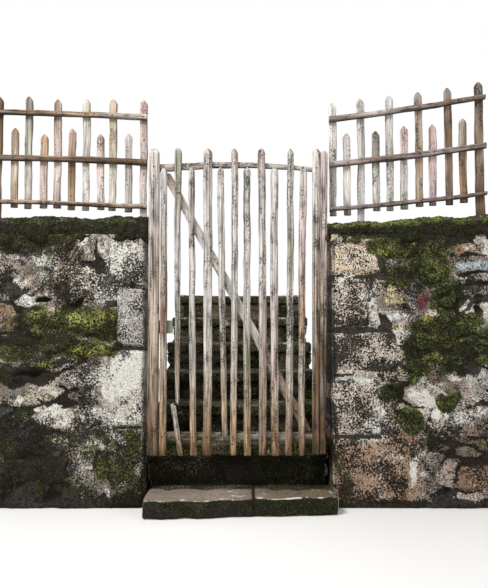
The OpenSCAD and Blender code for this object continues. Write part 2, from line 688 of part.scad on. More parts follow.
left_wall();
right_wall();
left_coping();
right_coping();
left_jamb_stones();
right_jamb_stones();
threshold_slabs();
stair_base();
tread_1();
tread_2();
tread_3();
tread_4();
tread_5();
tread_6();
left_fence_rails();
left_fence_tall_pales();
left_fence_short_pales();
right_fence_rails();
right_fence_tall_pales();
right_fence_short_pales();
right_fence_post();
hinge_hooks();
left_stile();
inner_right_stile();
outer_right_stile();
pale_1();
broken_pale();
pale_3();
pale_4();
pale_5();
pale_6();
pale_7();
pale_8();
pale_9();
pale_10();
pale_11();
broken_pale_foot();
gate_top_rail();
gate_bottom_rail();
gate_brace();
hinge_eyes();
lock_case();
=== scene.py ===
import math
import bpy
import numpy as np
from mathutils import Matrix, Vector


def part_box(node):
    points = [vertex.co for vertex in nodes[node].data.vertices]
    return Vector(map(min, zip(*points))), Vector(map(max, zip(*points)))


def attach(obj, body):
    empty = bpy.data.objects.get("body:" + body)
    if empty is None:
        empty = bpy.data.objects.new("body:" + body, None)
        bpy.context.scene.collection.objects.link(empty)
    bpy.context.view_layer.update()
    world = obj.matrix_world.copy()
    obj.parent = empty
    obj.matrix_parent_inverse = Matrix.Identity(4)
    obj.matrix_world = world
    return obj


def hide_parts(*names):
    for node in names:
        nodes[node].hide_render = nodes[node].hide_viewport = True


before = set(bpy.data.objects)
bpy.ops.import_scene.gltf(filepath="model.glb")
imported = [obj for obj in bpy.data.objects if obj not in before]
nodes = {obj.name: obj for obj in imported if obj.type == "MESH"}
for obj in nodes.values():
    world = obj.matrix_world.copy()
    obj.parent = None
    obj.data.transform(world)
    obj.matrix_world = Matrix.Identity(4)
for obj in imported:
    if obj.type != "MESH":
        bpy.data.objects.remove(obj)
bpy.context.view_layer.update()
scene = bpy.context.scene
scene.view_settings.view_transform = "Standard"

# The photograph's view: 488 by 588 pixels, taken from the lane, tilted slightly up
cameraView = {"place": (0.03, -3.36, 0.872), "tiltUp": 3.04, "focalPixels": 677, "imageHeight": 588,
              "sensor": 36}


def addCamera(view):
    data = bpy.data.cameras.new("camera")
    data.sensor_width = view["sensor"]
    data.lens = view["focalPixels"] / view["imageHeight"] * view["sensor"]
    camera = bpy.data.objects.new("camera", data)
    camera.location = view["place"]
    camera.rotation_euler = (math.radians(90 + view["tiltUp"]), 0, 0)
    scene.collection.objects.link(camera)
    scene.camera = camera


addCamera(cameraView)
print("camera ready")


# sRGB hex colour to linear red, green and blue
def linear(code):
    c = np.array([int(code[i:i + 2], 16) / 255 for i in (1, 3, 5)])
    return np.where(c <= 0.04045, c / 12.92, ((c + 0.055) / 1.055) ** 2.4)


def rgba(code):
    return (*linear(code), 1)


# Mixes two colours, or colours at each point, by a share at each point
def blend(first, second, share):
    return first * (1 - share[:, None]) + second * share[:, None]


# Smooth step from 0 at low to 1 at high; low may be the larger one
def ease(low, high, value):
    t = np.clip((value - low) / (high - low), 0, 1)
    return t * t * (3 - 2 * t)


# Lattice noise: a seeded random height at each corner of a cubic lattice, blended smoothly between them,
# from -1 to 1; size is the lattice's cell, one length or one for each axis. The large numbers scatter the
# corners, so that neighbours have nothing in common
cornerHash = {"axes": np.array([73856093, 19349663, 83492791]), "seed": 2654435, "spread": 1274126177}


def softNoise(points, size, seed=0):
    place = points / np.asarray(size, float) + seed * 7.31
    cell = np.floor(place).astype(np.int64)
    t = place - cell
    t = t * t * (3 - 2 * t)
    total = np.zeros(len(points))
    for corner in range(8):
        step = np.array([corner & 1, corner >> 1 & 1, corner >> 2 & 1])
        key = (cell + step) @ cornerHash["axes"] + seed * cornerHash["seed"]
        key = (key ^ (key >> 13)) * cornerHash["spread"]
        value = ((key ^ (key >> 16)) & 65535) / 32767.5 - 1
        total += value * np.prod(np.where(step, t, 1 - t), axis=1)
    return total


# Noise on noise: every layer has half the size and half the height of the one before
def roughNoise(points, size, layers, seed=0):
    size = np.asarray(size, float)
    return sum(softNoise(points, size / 2 ** k, seed + 11 * k) / 2 ** k for k in range(layers))


# Named noise fields from a table of strength, cell size in metres, layers and seed; shift moves all seeds
def noiseFields(points, table, shift=0):
    return {key: strength * roughNoise(points, size, layers, seed + shift)
            for key, (strength, size, layers, seed) in table.items()}


# Turns the faces round if the skin encloses a negative volume
def facedOut(points, faces):
    volume = 0
    for f in faces:
        a, b, c, d = points[f[:, 0]], points[f[:, 1]], points[f[:, 2]], points[f[:, -1]]
        volume += np.sum(np.cross(a, b) * c) + np.sum(np.cross(a, c) * d)
    return [f[:, ::-1] for f in faces] if volume < 0 else faces


# Faces of m closed rings of n points each: quads between the rings, and a fan at either end to the two
# middle points that follow the rings
def ringFaces(m, n):
    index = np.arange(m * n).reshape(m, n)
    around = np.concatenate([index, index[:, :1]], 1)
    quads = np.stack([around[:-1, :-1], around[1:, :-1], around[1:, 1:], around[:-1, 1:]], -1).reshape(-1, 4)
    hub = np.full(n, m * n)
    first = np.stack([hub, around[0, :-1], around[0, 1:]], -1)
    last = np.stack([hub + 1, around[-1, 1:], around[-1, :-1]], -1)
    return [quads, first, last]


# A mesh piece from point and face arrays, with its colour and vector attributes
def addPiece(name, points, faces, material, body, replaced=(), colours=None, vectors=None):
    counts = np.concatenate([np.full(len(f), f.shape[1]) for f in faces])
    corners = np.concatenate([f.ravel() for f in faces])
    mesh = bpy.data.meshes.new(name)
    mesh.vertices.add(len(points))
    mesh.vertices.foreach_set("co", points.astype(np.float32).ravel())
    mesh.loops.add(len(corners))
    mesh.loops.foreach_set("vertex_index", corners.astype(np.int32))
    mesh.polygons.add(len(counts))
    mesh.polygons.foreach_set("loop_start", np.concatenate([[0], np.cumsum(counts)[:-1]]).astype(np.int32))
    mesh.update(calc_edges=True)
    mesh.validate()
    mesh.polygons.foreach_set("use_smooth", np.ones(len(mesh.polygons), bool))
    for key, values in (colours or {}).items():
        layer = mesh.attributes.new(key, "FLOAT_COLOR", "POINT")
        layer.data.foreach_set("color", values.astype(np.float32).ravel())
    for key, values in (vectors or {}).items():
        layer = mesh.attributes.new(key, "FLOAT_VECTOR", "POINT")
        layer.data.foreach_set("vector", values.astype(np.float32).ravel())
    mesh.materials.append(material)
    piece = bpy.data.objects.new(name, mesh)
    scene.collection.objects.link(piece)
    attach(piece, body)
    if replaced:
        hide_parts(*replaced)


# Several skins as one: (points, faces, values...) lists joined, with the face numbers moved on
def joined(skins):
    start = 0
    faces = []
    for skin in skins:
        faces += [f + start for f in skin[1]]
        start += len(skin[0])
    return [np.concatenate([skin[0] for skin in skins]), faces] + [
        np.concatenate([skin[i] for skin in skins]) for i in range(2, len(skins[0]))]


# The separate solids of a CAD node as triangles, sorted along one axis and told apart by the gaps on it
def solidsOf(name, axis, gap=0.004):
    mesh = nodes[name].data
    mesh.calc_loop_triangles()
    points = np.empty(len(mesh.vertices) * 3, np.float32)
    mesh.vertices.foreach_get("co", points)
    points = points.reshape(-1, 3).astype(float)
    triangles = np.empty(len(mesh.loop_triangles) * 3, np.int32)
    mesh.loop_triangles.foreach_get("vertices", triangles)
    corners = points[triangles.reshape(-1, 3)]
    order = np.argsort(corners[:, :, axis].min(1))
    low = corners[order, :, axis].min(1)
    reached = np.maximum.accumulate(corners[order, :, axis].max(1))
    cuts = np.flatnonzero(low[1:] > reached[:-1] + gap) + 1
    return [corners[group] for group in np.split(order, cuts)]


# A CAD node that is one solid: no gap on the axis is wide enough to part it
def solidOf(name):
    return solidsOf(name, 0, 9)[0]


# Cuts a solid across one axis at each level: lowest and highest point on the across axis and in depth
def cutSolid(corners, axis, across, levels):
    a = corners.reshape(-1, 3)
    b = np.roll(corners, -1, axis=1).reshape(-1, 3)
    crosses = (a[:, axis] <= levels[:, None]) != (b[:, axis] <= levels[:, None])
    run = np.where(b[:, axis] == a[:, axis], 1, b[:, axis] - a[:, axis])
    t = (levels[:, None] - a[:, axis]) / run
    edges = []
    for k in (across, 1):
        at = a[:, k] + (b[:, k] - a[:, k]) * t
        edges += [np.where(crosses, at, np.inf).min(1), np.where(crosses, at, -np.inf).max(1)]
    return edges


# One small function that adds a shader node: its settings, then its inputs by name or number, where an
# input is a value or the socket that feeds it. In a Mix of colours, input 0 is the share, 6 and 7 are the
# colours, and output 2 is the result
def addNode(tree, kind, settings, inputs):
    node = tree.nodes.new("ShaderNode" + kind)
    for key, value in settings.items():
        setattr(node, key, value)
    for key, value in inputs.items():
        if isinstance(value, bpy.types.NodeSocket):
            tree.links.new(value, node.inputs[key])
        else:
            node.inputs[key].default_value = value
    return node


def startMaterial(name):
    material = bpy.data.materials.new(name)
    material.use_nodes = True
    tree = material.node_tree
    return material, tree, tree.nodes["Principled BSDF"]


# Gives the surface its colour and its relief, and the values that are the same all over it
def finishMaterial(tree, surface, look, colour, pattern):
    tree.links.new(colour, surface.inputs["Base Color"])
    bump = addNode(tree, "Bump", {}, {"Height": pattern, "Strength": look["bump"],
                                      "Distance": look["relief"]})
    tree.links.new(bump.outputs["Normal"], surface.inputs["Normal"])
    surface.inputs["Roughness"].default_value = look["roughness"]
    surface.inputs["Specular IOR Level"].default_value = look["specular"]
    surface.inputs["Metallic"].default_value = look["metallic"]


# Rough granite, split and hand dressed: a coarse crystal speckle of pale feldspar and black mica with brown
# iron stains, under black and white crusts of lichen, cushions of moss and dark algae where water runs; the
# same dark algae colour also paints shade in holes, under the copings, in the gaps beside the jambs and on
# the slabs' front faces. The attribute tone holds the colour of each stone, and cover holds moss, lichen,
# damp together with painted shade, and how yellow moss is, which is partly the moss's own colour and partly a
# painted highlight on lit moss.
# Crystals are 2 to 5 mm; they are drawn at 6 mm and the spots at 8 mm, because finer ones would not show.
# A band is where a level of noise and cover turns into a mask: from, to, and the mask's least and greatest
graniteLook = {
    "sizes": {"crystal": 0.006, "spot": 0.0085, "blotch": 0.05, "crust": 0.026, "tuft": 0.009,
              "clump": 0.040},
    "detail": 5, "spotDetail": 2.5, "noiseRoughness": 0.72, "spotSpread": -0.7, "dampReach": 0.7,
    "tuftReach": 0.9, "clumpReach": 0.8, "mossDries": -0.18,
    "bands": {"speckle": (0.37, 0.63), "stain": (0.47, 0.68, 0, 0.45), "spots": (0.26, 0.33, 0, 0.9),
              "crust": (0.9, 1.0, 0, 1), "crustShade": (0.34, 0.54, 0, 1), "moss": (1.31, 1.4, 0, 1),
              "tuftShade": (0.45, 0.59, 0, 1), "clumpShade": (0.38, 0.6, 0.22, 1),
              "dampAndShade": (0.73, 0.81, 0, 0.94), "fleck": (0.59, 0.68, 0, 0.36)},
    "roughness": 0.92, "specular": 0.15, "metallic": 0, "bump": 1.0, "relief": 0.006,
    "stain": "#765840", "lichenBlack": "#211912", "lichenPale": "#e4e1d8", "lichenGrey": "#8b887f",
    "mossDark": "#0e1007", "mossMiddle": "#676e3d", "mossPale": "#c0c468", "algaeAndShade": "#0f0c06"}


def weatheredGranite(name, look, speckle, spotted):
    material, tree, surface = startMaterial(name)
    place = addNode(tree, "TexCoord", {}, {}).outputs["Object"]
    tone = addNode(tree, "Attribute", {"attribute_name": "tone"}, {}).outputs["Color"]
    coverNode = addNode(tree, "Attribute", {"attribute_name": "cover"}, {})
    cover = addNode(tree, "SeparateColor", {}, {"Color": coverNode.outputs["Color"]}).outputs
    noise = {}
    for key, size in look["sizes"].items():
        detail = look["spotDetail"] if key == "spot" else look["detail"]
        noise[key] = addNode(tree, "TexNoise", {}, {"Vector": place, "Scale": 1 / size, "Detail": detail,
                                                    "Roughness": look["noiseRoughness"]}).outputs["Fac"]
    sums = {}
    for key, first, reach, second in (("spots", noise["blotch"], look["spotSpread"], noise["spot"]),
                                      ("crust", noise["crust"], 1, cover["Green"]),
                                      ("tufts", noise["tuft"], look["tuftReach"], cover["Red"]),
                                      ("dampAndShade", cover["Blue"], look["dampReach"], noise["spot"])):
        sums[key] = addNode(tree, "Math", {"operation": "MULTIPLY_ADD"},
                            {0: first, 1: reach, 2: second}).outputs[0]
    moss = addNode(tree, "Math", {"operation": "MULTIPLY_ADD"},
                   {0: noise["clump"], 1: look["clumpReach"], 2: sums["tufts"]})
    levels = {"speckle": noise["crystal"], "stain": noise["blotch"], "spots": sums["spots"],
              "crust": sums["crust"], "crustShade": noise["crystal"], "moss": moss.outputs[0],
              "tuftShade": noise["tuft"], "clumpShade": noise["clump"], "dampAndShade": sums["dampAndShade"],
              "fleck": noise["crystal"]}
    low, high = look["bands"]["speckle"]
    spotLow, spotHigh, spotLeast, spotMost = look["bands"]["spots"]
    bands = {**look["bands"], "speckle": (low, high, 1 - speckle, 1 + speckle),
             "spots": (spotLow - spotted, spotHigh - spotted, spotLeast, spotMost)}
    masks = {}
    for key, (start, end, least, most) in bands.items():
        masks[key] = addNode(tree, "MapRange", {}, {"Value": levels[key], "From Min": start, "From Max": end,
                                                    "To Min": least, "To Max": most}).outputs[0]
    mossShade = addNode(tree, "Math", {"operation": "MULTIPLY"},
                        {0: masks["tuftShade"], 1: masks["clumpShade"]})
    # The yellow share lifts moss to the pale yellow green: partly the moss's own colour, partly painted
    # highlight on lit moss tops and on the coping's lit front edge
    mossTop = addNode(tree, "Mix", {"data_type": "RGBA"},
                      {0: coverNode.outputs["Alpha"], 6: rgba(look["mossMiddle"]), 7: rgba(look["mossPale"])})
    mossColour = addNode(tree, "Mix", {"data_type": "RGBA"},
                         {0: mossShade.outputs[0], 6: rgba(look["mossDark"]), 7: mossTop.outputs[2]})
    crustColour = addNode(tree, "Mix", {"data_type": "RGBA"},
                          {0: masks["crustShade"], 6: rgba(look["lichenGrey"]), 7: rgba(look["lichenPale"])})
    dampKept = addNode(tree, "Math", {"operation": "MULTIPLY_ADD"},
                       {0: masks["moss"], 1: look["mossDries"], 2: 1})
    dampAndShade = addNode(tree, "Math", {"operation": "MULTIPLY"}, {0: masks["dampAndShade"], 1: dampKept.outputs[0]})
    colour = addNode(tree, "VectorMath", {"operation": "SCALE"},
                     {0: tone, "Scale": masks["speckle"]}).outputs[0]
    # The fifth mix, the damp share, darkens to the algae colour: real damp and black stipple, and painted
    # shade where the cover puts it
    for share, added in ((masks["stain"], rgba(look["stain"])), (masks["spots"], rgba(look["lichenBlack"])),
                         (masks["crust"], crustColour.outputs[2]), (masks["moss"], mossColour.outputs[2]),
                         (dampAndShade.outputs[0], rgba(look["algaeAndShade"])), (masks["fleck"], rgba(look["lichenGrey"]))):
        colour = addNode(tree, "Mix", {"data_type": "RGBA"}, {0: share, 6: colour, 7: added}).outputs[2]
    pattern = addNode(tree, "Mix", {"data_type": "FLOAT"}, {0: masks["moss"], 2: noise["crystal"],
                                                            3: noise["tuft"]})
    finishMaterial(tree, surface, look, colour, pattern.outputs[0])
    return material


# Cleft chestnut, split by hand and left bare: the summer wood weathers away between harder grain lines, so
# the surface is furrowed and streaked, silver grey above and brown where it stays wet. The attribute grain
# holds the place across, through and along the stick, tint its colour, and marks the splits and knots
# together with painted shade on the edges and the under side, the black lichen and the bleached parts. Rings
# are 2 mm apart; they are drawn 3 and 7 mm apart so that they show.
# Each noise has its width and length in metres, shift, detail and roughness
chestnutLook = {
    "noise": {"ring": (0.003, 0.11, (0, 0, 0), 2, 0.6), "band": (0.007, 0.11 / 0.6, (3, 5, 7), 3, 0.6),
              "blot": (0.0065, 0.0065 / 0.6, (0, 0, 0), 4, 0.7)},
    "ringShade": (0.33, 0.6, 0.55, 1.06), "bandShade": (0.34, 0.6, 0.75, 1.12),
    "blotShade": (0.81, 0.93, 0.85), "roughness": 0.85, "specular": 0.25, "metallic": 0, "bump": 0.7,
    "relief": 0.002, "split": "#1f1812", "lichen": "#24211b", "bleach": "#e6dfd6"}


def cleftChestnut(name, look, streak):
    material, tree, surface = startMaterial(name)
    grain = addNode(tree, "Attribute", {"attribute_name": "grain"}, {}).outputs["Vector"]
    tint = addNode(tree, "Attribute", {"attribute_name": "tint"}, {}).outputs["Color"]
    marksColour = addNode(tree, "Attribute", {"attribute_name": "marks"}, {}).outputs["Color"]
    marks = addNode(tree, "SeparateColor", {}, {"Color": marksColour}).outputs
    noise = {}
    for key, (width, length, shift, detail, roughness) in look["noise"].items():
        scale = (1 / width, 1 / width, 1 / length)
        place = addNode(tree, "Mapping", {}, {"Vector": grain, "Scale": scale, "Location": shift})
        noise[key] = addNode(tree, "TexNoise", {}, {"Vector": place.outputs[0], "Scale": 1, "Detail": detail,
                                                    "Roughness": roughness}).outputs["Fac"]
    shades = []
    for key in ("ring", "band"):
        start, end, depth, most = look[key + "Shade"]
        band = addNode(tree, "MapRange", {}, {"Value": noise[key], "From Min": start, "From Max": end,
                                              "To Min": 1 - streak * depth, "To Max": most})
        shades.append(band.outputs[0])
    shade = addNode(tree, "Math", {"operation": "MULTIPLY"}, {0: shades[0], 1: shades[1]})
    bleach = addNode(tree, "Math", {"operation": "MULTIPLY"}, {0: marks["Blue"], 1: noise["band"]})
    blotLevel = addNode(tree, "Math", {"operation": "ADD"}, {0: noise["blot"], 1: marks["Green"]})
    start, end, most = look["blotShade"]
    blot = addNode(tree, "MapRange", {}, {"Value": blotLevel.outputs[0], "From Min": start, "From Max": end,
                                          "To Max": most})
    colour = addNode(tree, "VectorMath", {"operation": "SCALE"},
                     {0: tint, "Scale": shade.outputs[0]}).outputs[0]
    # The split colour darkens the splits and knots, and also paints the shade on the sticks' edges and under
    # sides
    for share, added in ((bleach.outputs[0], "bleach"), (blot.outputs[0], "lichen"), (marks["Red"], "split")):
        colour = addNode(tree, "Mix", {"data_type": "RGBA"},
                         {0: share, 6: colour, 7: rgba(look[added])}).outputs[2]
    finishMaterial(tree, surface, look, colour, shade.outputs[0])
    return material


# Forged iron, rusted through its scale: layers of dark brown scale and orange bloom, quite dull. Flakes are
# 3 to 6 mm
rustLook = {"scale": "#2a1c14", "bloom": "#432b1d", "flake": 0.006, "flakeBand": (0.38, 0.66),
            "roughness": 0.88, "specular": 0.5, "metallic": 0.15, "bump": 0.9, "relief": 0.0015}


def rustedIron(name, look):
    material, tree, surface = startMaterial(name)
    place = addNode(tree, "TexCoord", {}, {}).outputs["Object"]
    flake = addNode(tree, "TexNoise", {}, {"Vector": place, "Scale": 1 / look["flake"], "Detail": 5,
                                           "Roughness": 0.7}).outputs["Fac"]
    start, end = look["flakeBand"]
    amount = addNode(tree, "MapRange", {}, {"Value": flake, "From Min": start, "From Max": end})
    colour = addNode(tree, "Mix", {"data_type": "RGBA"}, {0: amount.outputs[0], 6: rgba(look["scale"]),
                                                          7: rgba(look["bloom"])})
    finishMaterial(tree, surface, look, colour.outputs[2], flake)
    return material


# Lead paint on sheet iron, chalked to grey green by the weather, with rust creeping from pores and edges.
# Rust spots are 5 to 10 mm
lockLook = {"paint": "#8d9788", "worn": "#5f675d", "rust": "#6b4229", "pore": 0.008, "wear": 0.008 / 0.3,
            "rustBand": (0.56, 0.64), "roughness": 0.7, "specular": 0.5, "metallic": 0, "bump": 0.6,
            "relief": 0.001}


def chalkedPaint(name, look):
    material, tree, surface = startMaterial(name)
    place = addNode(tree, "TexCoord", {}, {}).outputs["Object"]
    pore = addNode(tree, "TexNoise", {}, {"Vector": place, "Scale": 1 / look["pore"], "Detail": 5,
                                          "Roughness": 0.7}).outputs["Fac"]
    wear = addNode(tree, "TexNoise", {}, {"Vector": place, "Scale": 1 / look["wear"], "Detail": 3})
    painted = addNode(tree, "Mix", {"data_type": "RGBA"}, {0: wear.outputs["Fac"], 6: rgba(look["paint"]),
                                                           7: rgba(look["worn"])})
    start, end = look["rustBand"]
    rust = addNode(tree, "MapRange", {}, {"Value": pore, "From Min": start, "From Max": end})
    colour = addNode(tree, "Mix", {"data_type": "RGBA"}, {0: rust.outputs[0], 6: painted.outputs[2],
                                                          7: rgba(look["rust"])})
    finishMaterial(tree, surface, look, colour.outputs[2], pore)
    return material


rubbleGranite = weatheredGranite("rubble_granite", graniteLook, 0.7, 0.08)
dressedGranite = weatheredGranite("dressed_granite", graniteLook, 0.66, 0.09)
wornGranite = weatheredGranite("worn_granite", graniteLook, 0.3, 0.0)
mossTurf = weatheredGranite("moss_turf", graniteLook, 0.5, 0.03)
gateChestnut = cleftChestnut("gate_chestnut", chestnutLook, 0.85)
fenceChestnut = cleftChestnut("fence_chestnut", chestnutLook, 0.72)
ironRust = rustedIron("rusted_iron", rustLook)
lockPaint = chalkedPaint("chalked_paint", lockLook)
print("materials ready")

# Colours of the stones, the mortar and the earth in the joints
stoneTones = {"paleGrey": "#bab5ad", "violetGrey": "#ada8a5", "chalk": "#c9c5bb", "olive": "#6b6850",
              "straw": "#d6c5ad", "oxblood": "#5c3340", "pinkGrey": "#a99b94", "brown": "#8d735c",
              "blueWhite": "#b4bfc6", "rose": "#b5a59b", "middleGrey": "#8b8780", "earthGrey": "#7b7068",
              "darkGrey": "#67625a", "speckled": "#c2bdb2", "fawn": "#a48b77", "lime": "#c6c3ba",
              "soil": "#2b2823", "mottled": "#ccc0b2", "cream": "#cfc49c", "slabPink": "#8d7f74",
              "slabGreen": "#736953", "step": "#6b6656"}
toneList = list(stoneTones)
toneValues = np.array([linear(stoneTones[key]) for key in toneList])

# How noise bends the outlines of the patches, across and up, and the seed of each kind of patch
patchEdges = {"across": (0.034, 0.10, 3, 0), "up": (0.030, 0.09, 3, 2)}
patchSeeds = {"moss": 3, "lichen": 7, "dampAndShade": 9, "yellow": 5, "hole": 11, "lime": 15}


# Strength of the soft oval patches of one kind, with torn edges: x, z, half width and half height in mm, and
# strength
def patches(x, z, look, kind):
    bend = noiseFields(np.stack([x, z, np.zeros_like(x)], 1), patchEdges, patchSeeds[kind])
    x, z = x + bend["across"], z + bend["up"]
    total = np.zeros(len(x))
    for middleX, middleZ, halfX, halfZ, strength in np.array(look[kind]) / (1000, 1000, 1000, 1000, 1):
        away = np.hypot((x - middleX) / halfX, (z - middleZ) / halfZ)
        total = np.maximum(total, strength * ease(1.4, 0.5, away))
    return total


# Moss, lichen, damp with painted shadow, and yellow of the patches at each point of a front face
def coverAt(x, z, look):
    return np.stack([patches(x, z, look, kind) for kind in ("moss", "lichen", "dampAndShade", "yellow")], 1)


# Skin of a solid made from the cells of a lattice: every cell face with air on one side, as quads that
# share their corners and face the air
def cellSkin(xs, ys, zs, filled):
    index = np.arange(len(xs) * len(ys) * len(zs)).reshape(len(xs), len(ys), len(zs))
    quads = []
    for axis in range(3):
        order = (axis, (axis + 1) % 3, (axis + 2) % 3)
        ids = np.transpose(index, order)
        cells = np.pad(np.transpose(filled, order).astype(int), ((1, 1), (0, 0), (0, 0)))
        step = cells[:-1] - cells[1:]
        corners = np.stack([ids[:, :-1, :-1], ids[:, 1:, :-1], ids[:, 1:, 1:], ids[:, :-1, 1:]], -1)
        quads += [corners[step == 1], corners[step == -1][:, ::-1]]
    quads = np.concatenate(quads)
    used, quads = np.unique(quads, return_inverse=True)
    grid = np.stack(np.meshgrid(xs, ys, zs, indexing="ij"), -1).reshape(-1, 3)
    return grid[used], quads.reshape(-1, 4)


# The skin of a whole box, every cell filled
def boxSkin(lines):
    return cellSkin(*lines, np.ones([len(line) - 1 for line in lines], bool))


def evenly(low, high, step):
    return np.linspace(low, high, max(2, int(round((high - low) / step)) + 1))


# Unit directions away from the skin: the mean of the quads round each point
def outwardOf(points, quads):
    normal = np.cross(points[quads[:, 2]] - points[quads[:, 0]], points[quads[:, 3]] - points[quads[:, 1]])
    corners = quads.ravel()
    total = np.stack([np.bincount(corners, np.repeat(normal[:, k], 4), len(points)) for k in range(3)], 1)
    return total / np.maximum(np.linalg.norm(total, axis=1, keepdims=True), 1e-9)


# Chips off the edges and hollows in the faces of a worn block, as shares of its dent
blockWear = {"chips": (1.4, 0.035, 1, 0), "hollows": (0.5, 0.11, 4, 5)}


# A worn stone block: a box of cells whose edges are rounded by pulling every point to the given radius
# round an inner box, then dented by noise, more at the edges; returns points, faces and directions
def wornBlock(low, high, steps, radius, dent, seed):
    low, high = np.array(low), np.array(high)
    points, quads = boxSkin([evenly(low[k], high[k], steps[k]) for k in range(3)])
    inner = np.clip(points, low + radius, high - radius)
    away = points - inner
    length = np.linalg.norm(away, axis=1, keepdims=True)
    outward = away / length
    noise = noiseFields(points, blockWear, seed)
    edge = ease(1.0, 1.35, length[:, 0] / radius)
    chips = edge * np.maximum(noise["chips"], 0) * dent
    hollows = dent * np.clip(0.5 + noise["hollows"], 0, 1.4)
    return inner + outward * (radius - hollows - chips)[:, None], [quads], outward


# Noise in a stone's tone, and in the moss, lichen and damp on it
stoneWear = {"tone": (0.16, 0.07, 3, 0)}
coverWear = {"moss": (0.45, 0.06, 3, 1), "lichen": (0.35, 0.05, 3, 2), "dampAndShade": (0.3, 0.08, 2, 3)}


# Colour of a stone: one tone with soft changes
def stoneColour(points, tone, seed):
    return linear(stoneTones[tone]) * (1 + noiseFields(points, stoneWear, seed)["tone"])[:, None]


# Cover of a stone: amounts of moss, lichen and damp that noise breaks into patches, and how yellow moss is
def stoneCover(points, amounts, yellow, seed):
    noise = noiseFields(points, {key: coverWear[key] for key in amounts}, seed)
    layers = [np.clip(amounts[key] + noise[key], 0, 1) if key in amounts else np.zeros(len(points))
              for key in coverWear]
    return np.stack(layers + [np.full(len(points), yellow)], 1)


def toneLayer(colour):
    return np.concatenate([np.clip(colour, 0, 1), np.ones((len(colour), 1))], 1)
